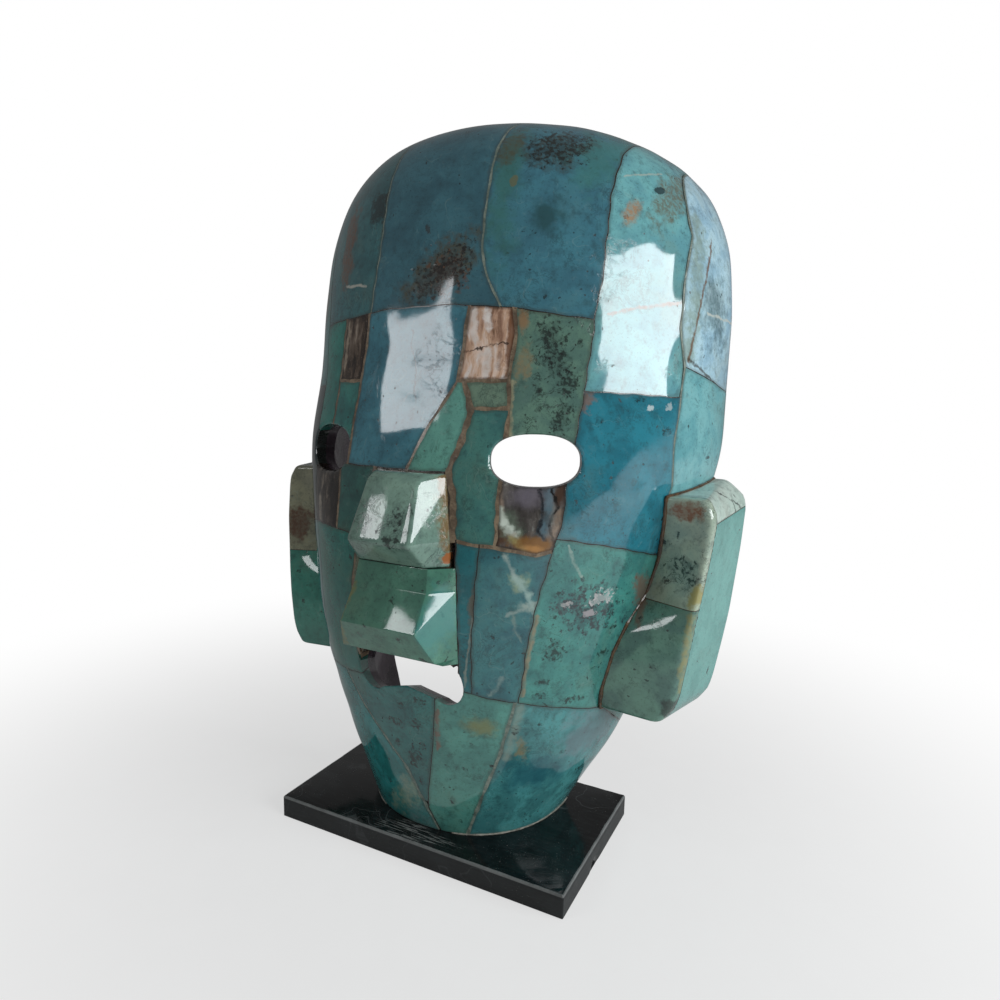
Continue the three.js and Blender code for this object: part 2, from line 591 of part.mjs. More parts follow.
const stones = [
  ['side_upper_left', 'leftRim', 'leftCrease', 'wall', 'creaseTop', STONE.blue],
  ['side_upper_right', 'rightCrease', 'rightRim', 'wall', 'creaseTop', STONE.blue],
  ['side_middle_left', 'leftRim', 'leftCrease', 'earTop', 'wall', STONE.teal],
  ['side_middle_right', 'rightCrease', 'rightRim', 'earTop', 'wall', STONE.paleTeal],
  ['side_lower_left', 'leftRim', 'leftCrease', 'jaw', 'earTop', STONE.teal],
  ['side_lower_right', 'rightCrease', 'rightRim', 'jaw', 'earTop', STONE.teal],
  ['brow_green_left', 'leftBrow', 'leftInlayOuter', 'eye', 'forehead', STONE.green],
  ['inlay_brow_left', 'leftInlayOuter', 'leftInlayInner', 'inlayFoot', 'forehead', ABALONE_COLOUR],
  ['brow_under_inlay_left', 'leftInlayOuter', 'leftInlayInner', 'eye', 'inlayFoot', STONE.olive],
  ['brow_middle', 'leftInlayInner', 'bridge', 'bridge', 'forehead', STONE.deepBlue],
  ['inlay_brow_middle', 'bridge', 'browInlay', 'inlayFoot', 'forehead', ABALONE_COLOUR],
  ['brow_under_inlay_middle', 'noseRight', 'browInlay', 'browOlive', 'inlayFoot', STONE.olive],
  ['brow_speckled_right', 'browInlay', 'rightBrow', 'eye', 'forehead', STONE.green],
  ['bridge_wedge', 'bridge', 'noseRight', 'bridge', 'inlayFoot', STONE.teal],
  ['bridge_right', 'noseRight', 'rightEyeInner', 'cheekInner', 'browOlive', STONE.darkTeal],
  ['bridge_left', 'leftEyeInner', 'noseLeft', 'cheekLeft', 'bridge', STONE.darkTeal],
  ['cheek_upper_left', 'leftCrease', 'leftBrow', 'cheekLeft', 'temple', STONE.darkTeal],
  ['inlay_cheek_left', 'leftBrow', 'leftEyeInner', 'cheekLeft', 'eye', ABALONE_COLOUR],
  ['inlay_cheek_right', 'rightEyeInner', 'rightBrow', 'cheekInner', 'eye', ABALONE_COLOUR],
  ['cheek_upper_right', 'rightBrow', 'rightCrease', 'cheekRight', 'temple', STONE.brightBlue],
  ['cheek_outer_left', 'leftCrease', 'leftBrow', 'jaw', 'cheekLeft', STONE.teal],
  ['cheek_inner_left', 'leftBrow', 'noseLeft', 'jaw', 'cheekLeft', STONE.darkTeal],
  ['cheek_strip_right', 'cheekStripLeft', 'cheekStripRight', 'jaw', 'cheekInner', STONE.deepBlue],
  ['cheek_inner_right', 'cheekStripRight', 'rightBrow', 'jaw', 'cheekInner', STONE.blue],
  ['cheek_outer_right', 'rightBrow', 'rightCrease', 'jaw', 'cheekRight', STONE.teal],
  ['chin_left', 'leftRim', 'paleVein', 'chin', 'jaw', STONE.teal],
  ['chin_speckled', 'paleVein', 'chinSpeckle', 'chinFork', 'jaw', STONE.darkTeal],
  ['chin_middle', 'chinSpeckle', 'chinMiddle', 'chin', 'jaw', STONE.teal],
  ['chin_right', 'chinMiddle', 'rightRim', 'chin', 'jaw', STONE.paleTeal],
];
for (const [name, left, right, low, high, colour] of stones) {
  const stone = panel(SEAMS[left], SEAMS[right], JOINTS[low], JOINTS[high]);
  addPiece(name, stone.subtract(openings), colour);
}

addPiece('nose_upper', noseBlock(NOSE_UPPER, SEAMS.noseLeft, SEAMS.noseRight), STONE.green);
addPiece('nose_lower', noseBlock(NOSE_LOWER, SEAMS.noseLeft, SEAMS.cheekStripLeft), STONE.olive);

const form = outerForm();
const earFoot = EAR_SECTIONS[0].z;
const earTop = EAR_SECTIONS[EAR_SECTIONS.length - 1].z;
const faceDepth = [0, EAR_FACE_THICKNESS];
const blockDepth = [EAR_FACE_THICKNESS + FIT_GAP, null];
const earParts = [
  ['face_lower', [earFoot, EAR_JOINTS[0]], faceDepth, STONE.teal],
  ['face_upper', [EAR_JOINTS[1], earTop], faceDepth, STONE.olive],
  ['side', [earFoot, EAR_JOINTS[2]], blockDepth, STONE.paleTeal],
  ['cap', [EAR_JOINTS[3], earTop], blockDepth, STONE.teal],
];
for (const [sideName, side] of [['left', -1], ['right', 1]]) {
  for (const [part, heights, depths, colour] of earParts) {
    addPiece(`ear_${part}_${sideName}`, earPart(side, heights, depths, form), colour);
  }
}

addPiece('backing_shell', backingShell().subtract(openings), RESIN_COLOUR, 0.4);
addPiece('plinth', slab(), SLAB_COLOUR, 0.15);

export default mask;
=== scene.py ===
"""Stone-mosaic mask with abalone inlays on a polished slab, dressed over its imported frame."""
import logging
import math
from contextlib import contextmanager
from dataclasses import dataclass, field
from enum import Enum
from typing import Callable, Iterable, Iterator, Sequence

import bmesh
import bpy
import numpy as np
from mathutils import Matrix, Vector


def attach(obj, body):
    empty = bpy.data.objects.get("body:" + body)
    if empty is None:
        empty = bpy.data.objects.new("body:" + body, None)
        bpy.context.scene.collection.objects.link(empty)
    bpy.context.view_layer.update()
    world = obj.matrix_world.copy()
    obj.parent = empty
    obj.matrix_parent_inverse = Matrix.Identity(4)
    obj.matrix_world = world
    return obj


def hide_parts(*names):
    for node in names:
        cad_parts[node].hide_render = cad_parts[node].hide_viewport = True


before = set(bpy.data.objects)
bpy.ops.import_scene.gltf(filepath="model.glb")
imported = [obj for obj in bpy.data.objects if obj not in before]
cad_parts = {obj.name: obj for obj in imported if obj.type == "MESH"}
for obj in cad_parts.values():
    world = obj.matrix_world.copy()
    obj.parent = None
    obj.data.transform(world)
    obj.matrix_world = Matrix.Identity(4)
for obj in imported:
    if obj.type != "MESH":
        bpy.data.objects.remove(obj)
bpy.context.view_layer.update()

MM = 0.001
BODY = "root"
RIM = 1000.0
QUARTER = math.pi / 2
MERGE = 2e-6
TURN_LENGTH = 70.0
LOG = logging.getLogger("mask")

Colour = tuple[float, float, float, float]
Place = tuple[float, float]
Array = np.ndarray
Thing = bpy.types.Object
Mesh = bpy.types.Mesh


def paint(code: str) -> Colour:
    """Turn a six-digit colour code into a linear colour.

    Args:
        code: Red, green and blue as hexadecimal digits.

    Returns:
        Linear red, green, blue and an alpha of one.
    """
    parts = [int(code[i:i + 2], 16) / 255 for i in (0, 2, 4)]
    linear = [p / 12.92 if p <= 0.04045 else ((p + 0.055) / 1.055) ** 2.4 for p in parts]
    return (linear[0], linear[1], linear[2], 1.0)


def ripple(points: Array, lengths: Sequence[float], seed: int) -> Array:
    """Smooth unevenness of a hand-ground surface.

    Args:
        points: Places in millimetres, with their coordinates on the last axis.
        lengths: Wave lengths in millimetres.
        seed: Fixed seed of the waves' directions.

    Returns:
        A value of about -1 to 1 for each place.
    """
    rng = np.random.default_rng(seed)
    total = np.zeros(points.shape[:-1])
    for length in lengths:
        for _ in range(3):
            way = rng.normal(size=points.shape[-1])
            way /= np.linalg.norm(way)
            total += np.sin(points @ way * 2 * math.pi / length + rng.uniform(0, 2 * math.pi))
    return np.clip(total / (1.6 * math.sqrt(3 * len(lengths))), -1, 1)


class Wire:
    """One output of a node, on which arithmetic adds Math nodes."""

    def __init__(self, sheet: "NodeSheet", socket: bpy.types.NodeSocket | None) -> None:
        """Hold a socket and the sheet that it belongs to."""
        self.sheet = sheet
        self.socket = socket

    def _math(self, operation: str, *values: "Wire | float", clamp: bool = False) -> "Wire":
        """Add a Math node over the given values."""
        settings = {"operation": operation, "use_clamp": clamp}
        return self.sheet.add("ShaderNodeMath", settings, dict(enumerate(values)))

    def __add__(self, other: "Wire | float") -> "Wire":
        """Sum."""
        return self._math("ADD", self, other)

    __radd__ = __add__

    def __sub__(self, other: "Wire | float") -> "Wire":
        """Difference."""
        return self._math("SUBTRACT", self, other)

    def __rsub__(self, other: "Wire | float") -> "Wire":
        """Difference from a number."""
        return self._math("SUBTRACT", other, self)

    def __mul__(self, other: "Wire | float") -> "Wire":
        """Product."""
        return self._math("MULTIPLY", self, other)

    __rmul__ = __mul__

    def __truediv__(self, other: "Wire | float") -> "Wire":
        """Quotient."""
        return self._math("DIVIDE", self, other)

    def __rtruediv__(self, other: "Wire | float") -> "Wire":
        """Quotient of a number by this value."""
        return self._math("DIVIDE", other, self)

    def __pow__(self, other: "Wire | float") -> "Wire":
        """Power."""
        return self._math("POWER", self, other)

    def size(self) -> "Wire":
        """Absolute value."""
        return self._math("ABSOLUTE", self)

    def larger(self, other: "Wire | float") -> "Wire":
        """Larger of the two values."""
        return self._math("MAXIMUM", self, other)

    def smaller(self, other: "Wire | float") -> "Wire":
        """Smaller of the two values."""
        return self._math("MINIMUM", self, other)

    def held(self) -> "Wire":
        """Value held between 0 and 1."""
        return self._math("ADD", self, 0.0, clamp=True)

    def wave(self) -> "Wire":
        """Sine."""
        return self._math("SINE", self)

    def band(self, low: float, high: float) -> "Wire":
        """Smooth step from 0 at low to 1 at high."""
        settings = {"interpolation_type": "SMOOTHSTEP"}
        values = {"Value": self, "From Min": low, "From Max": high}
        return self.sheet.add("ShaderNodeMapRange", settings, values)

    def below(self, low: float, high: float) -> "Wire":
        """Smooth step from 1 at low to 0 at high."""
        return 1 - self.band(low, high)


class NodeSheet:
    """Node tree under construction."""

    def __init__(self, tree: bpy.types.NodeTree) -> None:
        """Start on an emptied tree."""
        self.tree = tree
        tree.nodes.clear()

    def add(self, kind: str, settings: dict | None = None, values: dict | None = None,
            output: int | str = 0) -> Wire:
        """Add a node, set it up and wire it.

        Args:
            kind: Blender's type name of the node.
            settings: Properties of the node, set first; "stops" are a ramp's stops.
            values: Numbers, vectors or wires by socket name, identifier or place.
            output: Name, identifier or place of the output that is returned.

        Returns:
            The wire from that output.
        """
        node = self.tree.nodes.new(kind)
        for key, value in (settings or {}).items():
            if key == "stops":
                self._ramp(node.color_ramp, value)
            else:
                setattr(node, key, value)
        for key, value in (values or {}).items():
            socket = self._socket(node.inputs, key)
            if isinstance(value, Wire):
                self.tree.links.new(value.socket, socket)
            else:
                socket.default_value = value
        return Wire(self, self._socket(node.outputs, output)) if node.outputs else Wire(self, None)

    @staticmethod
    def _ramp(ramp: bpy.types.ColorRamp, stops: Sequence[tuple[float, Colour]]) -> None:
        """Set a ramp's stops.

        Args:
            ramp: The ramp.
            stops: Place and colour of each stop.
        """
        while len(ramp.elements) > 1:
            ramp.elements.remove(ramp.elements[-1])
        ramp.elements[0].position, ramp.elements[0].color = stops[0]
        for place, colour in stops[1:]:
            ramp.elements.new(place).color = colour

    @staticmethod
    def _socket(sockets: bpy.types.bpy_prop_collection, key: int | str) -> bpy.types.NodeSocket:
        """Find a socket by place, identifier or name.

        Args:
            sockets: Sockets of a node.
            key: The socket's place, identifier or name.

        Returns:
            The socket.
        """
        if isinstance(key, int):
            return sockets[key]
        for socket in sockets:
            if socket.identifier == key:
                return socket
        return next(socket for socket in sockets if socket.name == key and socket.enabled)

    def other(self, wire: Wire, name: str) -> Wire:
        """Another output of the node that a wire comes from."""
        return Wire(self, self._socket(wire.socket.node.outputs, name))

    def vector(self, operation: str, *values: "Wire | Sequence[float]",
               scale: "Wire | float" = 1.0) -> Wire:
        """Add a Vector Math node.

        Args:
            operation: What the node does.
            values: Its vectors.
            scale: Its factor, where it scales a vector.

        Returns:
            The resulting vector.
        """
        inputs = dict(enumerate(values))
        if operation == "SCALE":
            inputs["Scale"] = scale
        return self.add("ShaderNodeVectorMath", {"operation": operation}, inputs)

    def blend(self, under: "Wire | str", code: str, share: "Wire | float") -> Wire:
        """Lay a paint over another colour.

        Args:
            under: The colour beneath, as a wire or a code.
            code: Code of the paint.
            share: How much of the paint covers it, from 0 to 1.

        Returns:
            The mixed colour.
        """
        settings = {"data_type": "RGBA", "blend_type": "MIX", "clamp_factor": True}
        beneath = paint(under) if isinstance(under, str) else under
        values = {"Factor_Float": share, "A_Color": beneath, "B_Color": paint(code)}
        return self.add("ShaderNodeMix", settings, values, "Result_Color")


class Across(Enum):
    """Direction in which a mark's first coordinate is measured."""

    WIDTH = 0
    DEPTH = 1


@dataclass(frozen=True)
class Spot:
    """Patch of another colour on a stone, in millimetres."""

    at: float
    z: float
    wide: float
    high: float
    colour: str
    lean: float = 0.0
    ragged: float = 0.5
    share: float = 1.0
    grain: float = 7.0
    across: Across = Across.WIDTH
    soft: float = 0.2
    specked: float = 0.0

    def mask(self, axes: Sequence[Wire], noise: Callable[[float], Wire]) -> Wire:
        """Make the patch's mask.

        Args:
            axes: Coordinates along X, Y and Z in millimetres.
            noise: Gives a noise of a grain size in millimetres.

        Returns:
            A mask of 0 to 1.
        """
        across, up = axes[self.across.value] - self.at, axes[2] - self.z
        turn = math.radians(self.lean)
        along = across * math.cos(turn) + up * math.sin(turn)
        over = up * math.cos(turn) - across * math.sin(turn)
        reach = ((along / self.wide) ** 2 + (over / self.high) ** 2) ** 0.5
        uneven = (noise(self.grain) - 0.5) * (4 * self.ragged)
        mask = (reach + uneven).below(1 - self.soft, 1 + self.soft) * self.share
        if not self.specked:
            return mask
        return mask * (1 - noise(1.7).band(0.42, 0.56) * self.specked)


@dataclass(frozen=True)
class Streak:
    """Line of another colour on a stone, in millimetres."""

    start: Place
    stop: Place
    width: float
    colour: str
    ragged: float = 1.5
    share: float = 1.0
    grain: float = 9.0
    across: Across = Across.WIDTH
    soft: float = 0.35
    broken: float = 0.5

    def mask(self, axes: Sequence[Wire], noise: Callable[[float], Wire]) -> Wire:
        """Make the line's mask.

        Args:
            axes: Coordinates along X, Y and Z in millimetres.
            noise: Gives a noise of a grain size in millimetres.

        Returns:
            A mask of 0 to 1.
        """
        (x0, z0), (x1, z1) = self.start, self.stop
        length = math.hypot(x1 - x0, z1 - z0)
        ux, uz = (x1 - x0) / length, (z1 - z0) / length
        across, up = axes[self.across.value] - x0, axes[2] - z0
        along = across * ux + up * uz
        over = up * ux - across * uz + (noise(self.grain) - 0.5) * (4 * self.ragged)
        past = (along.size() + (along - length).size() - length) * 0.5
        reach = over.size() + past
        edge = reach / self.width + (noise(2.3) - 0.5) * 1.2
        whole = edge.below(0.5 - self.soft, 0.5 + self.soft) * self.share
        return whole * (1 - noise(4.1).below(0.38, 0.54) * self.broken)


Mark = Spot | Streak


@dataclass(frozen=True)
class Finish:
    """What every finish shares."""

    name: str
    slot: str

    def material(self) -> bpy.types.Material:
        """Make the material, or return it if it is already made.

        Returns:
            The material.
        """
        ready = bpy.data.materials.get(self.name)
        if ready:
            return ready
        made = bpy.data.materials.new(self.name)
        made.use_nodes = True
        self.dress(NodeSheet(made.node_tree))
        return made

    def dress(self, sheet: NodeSheet) -> None:
        """Fill the material's node tree.

        Args:
            sheet: Sheet of the material.
        """
        raise NotImplementedError

    @staticmethod
    def millimetres(sheet: NodeSheet, offset: float = 0.0) -> Wire:
        """Object coordinates in millimetres, moved by an offset that sets pieces apart."""
        place = sheet.add("ShaderNodeTexCoord", output="Object")
        scaled = sheet.vector("SCALE", place, scale=1000.0)
        return sheet.vector("ADD", scaled, (37.0 * offset, -19.0 * offset, 53.0 * offset))

    @staticmethod
    def noise(sheet: NodeSheet, place: Wire, grain: float, detail: float = 3.0,
              rough: float = 0.5, twist: float = 0.0, output: str = "Fac") -> Wire:
        """Noise with a grain size in millimetres.

        Args:
            sheet: Sheet to add to.
            place: Places in millimetres.
            grain: Size of its grains.
            detail: How many finer layers it has.
            rough: How strong the finer layers are.
            twist: How much it is swirled.
            output: Output of the node.

        Returns:
            The noise, from 0 to 1.
        """
        values = {"Vector": place, "Scale": 1.0 / grain, "Detail": detail,
                  "Roughness": rough, "Distortion": twist}
        return sheet.add("ShaderNodeTexNoise", {}, values, output)

    @staticmethod
    def axes(sheet: NodeSheet, place: Wire, wanted: Sequence[int] = (0, 1, 2)) -> tuple[Wire, ...]:
        """Wanted ones of the X, Y and Z of a place."""
        return tuple(sheet.add("ShaderNodeSeparateXYZ", {}, {0: place}, i) for i in wanted)

    @staticmethod
    def from_edge(sheet: NodeSheet) -> Wire:
        """Distance from the edge of the stone in millimetres."""
        return sheet.add("ShaderNodeAttribute", {"attribute_name": "edge"}, {}, "Fac")

    def marked(self, sheet: NodeSheet, colour: Wire, place: Wire, own: Wire,
               marks: Sequence[Mark]) -> Wire:
        """Lay placed marks over a colour.

        Args:
            sheet: Sheet to add to.
            colour: Colour beneath.
            place: Object coordinates in millimetres.
            own: The same places, moved by the piece's offset.
            marks: Marks from the lowest to the topmost.

        Returns:
            The colour with the marks.
        """
        axes = self.axes(sheet, place)
        grains: dict[float, Wire] = {}

        def ragged(size: float) -> Wire:
            """Noise of a grain size, made once for each size."""
            if size not in grains:
                grains[size] = self.noise(sheet, own, size, 4.0, 0.6)
            return grains[size]

        for mark in marks:
            colour = sheet.blend(colour, mark.colour, mark.mask(axes, ragged))
        return colour

    def warped(self, sheet: NodeSheet, place: Wire, grain: float, reach: float) -> Wire:
        """Places pushed about by up to a reach, so that patterns on them meander.

        Args:
            sheet: Sheet to add to.
            place: Places in millimetres.
            grain: Size of the bends.
            reach: How far places are pushed.

        Returns:
            The pushed places.
        """
        push = self.noise(sheet, place, grain, 2.0, output="Color")
        centred = sheet.vector("SUBTRACT", push, (0.5, 0.5, 0.5))
        return sheet.vector("ADD", place, sheet.vector("SCALE", centred, scale=2 * reach))

    @staticmethod
    def surface(sheet: NodeSheet, colour: Wire, roughness: Wire, height: Wire, strength: float,
                others: dict) -> None:
        """Add the bump, the surface shader and the output.

        Args:
            sheet: Sheet to add to.
            colour: Base colour.
            roughness: Roughness.
            height: Relief in millimetres.
            strength: How much of the relief shows.
            others: Further values of the shader by socket.
        """
        bump = sheet.add("ShaderNodeBump", {}, {"Height": height, "Strength": strength, "Distance": MM})
        values = {**others, "Base Color": colour, "Roughness": roughness, "Normal": bump}
        shader = sheet.add("ShaderNodeBsdfPrincipled", {}, values)
        sheet.add("ShaderNodeOutputMaterial", {}, {"Surface": shader})


@dataclass(frozen=True)
class StoneFinish(Finish):
    """Polished blue-green mineral with clouds, stains, dots, branching lines and placed marks."""

    body: str = "41666f"
    cloud: str = "4f7f86"
    shade: str = "1c3032"
    stain: str = "4f4c38"
    speck: str = "0e1514"
    line: str = "182220"
    hair: str = "8fa8a0"
    rim: str = "3a3529"
    cloud_size: float = 15.0
    cloud_share: float = 0.8
    mottle: float = 0.45
    stained: float = 0.35
    specks: float = 0.65
    branches: float = 0.4
    hairs: float = 0.15
    gloss: float = 0.06
    lean: tuple[float, float] = (0.0, 0.0)
    pillow: tuple[float, float, float] = (0.0, 0.0, 0.0)
    roll_off: tuple[float, float] = (0.0, 0.0)
    offset: float = 0.0
    marks: tuple[Mark, ...] = ()

    def ground(self, sheet: NodeSheet, place: Wire) -> Wire:
        """Height that grinding left: a lean, a bulge about a middle and a fall on one side of a level.

        Args:
            sheet: Sheet to add to.
            place: Places in millimetres.

        Returns:
            The height in millimetres.
        """
        x, z = self.axes(sheet, place, (0, 2))
        middle, reach, bulge = self.pillow
        level, fall = self.roll_off
        out = (x - middle).size().smaller(reach)
        past = (z - level).smaller(0.0) if fall > 0 else (z - level).larger(0.0)
        return x * self.lean[0] + z * self.lean[1] - out * out * bulge - past * past * fall

    def dots(self, sheet: NodeSheet, place: Wire, gap: float, widest: float, share: Wire,
             uneven: Wire) -> Wire:
        """Ragged dots of many sizes.

        Args:
            sheet: Sheet to add to.
            place: Places in millimetres.
            gap: Size of the cells in millimetres, each of which may hold one dot.
            widest: Radius of the widest dots in millimetres.
            share: Share of the cells that hold a dot.
            uneven: Noise that makes the dots ragged.

        Returns:
            A mask of 0 to 1.
        """
        reach = sheet.add("ShaderNodeTexVoronoi", {}, {"Vector": place, "Scale": 1 / gap})
        chance = sheet.add("ShaderNodeSeparateColor", {}, {0: sheet.other(reach, "Color")})
        radius = ((chance - 1 + share) / share.larger(0.02)).held() * (widest / gap)
        return (radius * (uneven * 2.2 - 0.1) - reach).band(0.0, 0.06)

    def dress(self, sheet: NodeSheet) -> None:
        """Fill the material's node tree.

        Args:
            sheet: Sheet of the material.
        """
        place = self.millimetres(sheet)
        own = self.millimetres(sheet, self.offset)
        bent = self.warped(sheet, own, 15.0, 7.0)
        clouds = self.noise(sheet, bent, self.cloud_size, 5.0, 0.58).band(0.36, 0.62)
        colour = sheet.blend(self.body, self.cloud, clouds * self.cloud_share)
        drift = self.noise(sheet, bent, 30.0, 5.0, 0.62)
        colour = sheet.blend(colour, self.stain, drift.band(0.52, 0.68) * self.stained)
        blotches = self.noise(sheet, own, 4.2, 5.0, 0.66)
        colour = sheet.blend(colour, self.shade, blotches.band(0.48, 0.74) * self.mottle)
        colour = sheet.blend(colour, self.hair, blotches.below(0.3, 0.44) * (0.2 * self.mottle))
        grains = self.noise(sheet, own, 0.9, 2.0, 0.6)
        colour = sheet.blend(colour, self.shade, grains.band(0.55, 0.72) * 0.3)
        veins = self.noise(sheet, bent, 26.0, 3.0, 0.5, 0.8)
        hairs = (veins - 0.5).size().below(0.001, 0.006) * clouds.band(0.2, 0.9) * self.hairs
        colour = sheet.blend(colour, self.hair, hairs)
        branching = self.noise(sheet, bent, 7.0, 7.0, 0.7, 0.6)
        patches = self.noise(sheet, own, 17.0, 2.0)
        branches = (branching - 0.5).size().below(0.004, 0.022) * patches.band(0.5, 0.6)
        branches = branches * self.branches
        colour = sheet.blend(colour, self.line, branches)
        crowd = self.noise(sheet, own, 13.0, 2.0).band(0.35, 0.65) * self.specks
        small = self.dots(sheet, bent, 1.9, 0.6, crowd * 0.4 + 0.04, grains)
        large = self.dots(sheet, bent, 5.5, 1.3, crowd * 0.4, grains)
        specks = small.larger(large)
        colour = sheet.blend(colour, self.speck, specks * 0.72)
        colour = self.marked(sheet, colour, place, own, self.marks)
        rim = (self.from_edge(sheet) + (blotches - 0.5) * 3.5).below(0.1, 1.4)
        colour = sheet.blend(colour, self.rim, rim * 0.38)
        roughness = blotches * 0.05 + specks * 0.2 + branches * 0.15 + (self.gloss - 0.02)
        waves = self.noise(sheet, own, 14.0, 1.0)
        scuffs = self.noise(sheet, own, 0.7, 2.0)
        height = waves * 0.4 + self.ground(sheet, place) + blotches * 0.03 + scuffs * 0.005
        height = height - specks * 0.03 - branches * 0.03
        self.surface(sheet, colour, roughness, height, 0.35, {"IOR": 1.72})


@dataclass(frozen=True)
class AbaloneFinish(Finish):
    """Nacre with upright streaks and wavy growth bands."""

    bands: tuple[tuple[float, str], ...] = ()
    streak_grain: float = 3.2
    stretch: tuple[float, float, float] = (1.0, 1.0, 0.14)
    waviness: float = 0.2
    band_count: float = 4.0
    metal: float = 0.3
    offset: float = 0.0
    marks: tuple[Mark, ...] = ()
    glint: str = "e9ddd2"
    pit: str = "2a1f1b"
    rim: str = "2b211c"

    def dress(self, sheet: NodeSheet) -> None:
        """Fill the material's node tree.

        Args:
            sheet: Sheet of the material.
        """
        place = self.millimetres(sheet)
        own = self.millimetres(sheet, self.offset)
        drawn = sheet.vector("MULTIPLY", self.warped(sheet, own, 12.0, 2.5), self.stretch)
        streaks = self.noise(sheet, drawn, self.streak_grain, 5.0, 0.6)
        growth = self.noise(sheet, self.warped(sheet, own, 9.0, 5.0), 16.0, 2.0, 0.45, 0.5)
        folds = (growth * (self.band_count * 2 * math.pi)).wave() * 0.5 + 0.5
        fine = self.noise(sheet, drawn, 0.8, 4.0, 0.65)
        stops = [(at, paint(code)) for at, code in self.bands]
        tone = streaks.band(0.3, 0.7) * (1 - self.waviness) + folds * self.waviness
        tone = (tone + (fine - 0.5) * 0.45).held()
        colour = sheet.add("ShaderNodeValToRGB", {"stops": stops}, {"Fac": tone})
        glints = self.noise(sheet, own, 0.9, 3.0, 0.7)
        colour = sheet.blend(colour, self.glint, glints.band(0.6, 0.72) * 0.2)
        colour = sheet.blend(colour, self.pit, glints.below(0.28, 0.38) * 0.5)
        colour = self.marked(sheet, colour, place, own, self.marks)
        rim = (self.from_edge(sheet) + fine - 0.5).below(0.1, 1.2)
        colour = sheet.blend(colour, self.rim, rim * 0.6)
        metal = (folds * 0.5 + 0.5) * self.metal
        height = growth * 0.6 + fine * 0.08
        self.surface(sheet, colour, fine * 0.12 + 0.08, height, 0.35, {"Metallic": metal, "IOR": 1.7})


@dataclass(frozen=True)
class ResinFinish(Finish):
    """Cast resin with cloudy colour, dirt and small pits."""

    body: str = "6f5a45"
    cloud: str = "8d7a61"
    dirt: str = "2b241d"
    grain: float = 6.0
    cloud_share: float = 0.8
    dirt_share: float = 0.6
    gloss: float = 0.25
    uneven: float = 0.6

    def dress(self, sheet: NodeSheet) -> None:
        """Fill the material's node tree.

        Args:
            sheet: Sheet of the material.
        """
        own = self.millimetres(sheet)
        bent = self.warped(sheet, own, self.grain, 0.6 * self.grain)
        clouds = self.noise(sheet, bent, self.grain, 4.0, 0.6)
        colour = sheet.blend(self.body, self.cloud,
                             clouds.band(0.4, 0.62) * self.cloud_share)
        patches = self.noise(sheet, own, 2.4 * self.grain, 3.0, 0.6)
        dirt = patches.band(0.5, 0.66) * self.dirt_share
        colour = sheet.blend(colour, self.dirt, dirt)
        fine = self.noise(sheet, own, 0.9, 3.0, 0.6)
        colour = sheet.blend(colour, self.dirt, fine.band(0.56, 0.7) * 0.4)
        roughness = dirt * 0.2 + fine * 0.1 + (self.gloss - 0.05)
        height = clouds * 0.6 + fine * 0.1
        self.surface(sheet, colour, roughness, height, self.uneven,
                     {"Coat Weight": 0.4, "Coat Roughness": 0.1, "IOR": 1.5})


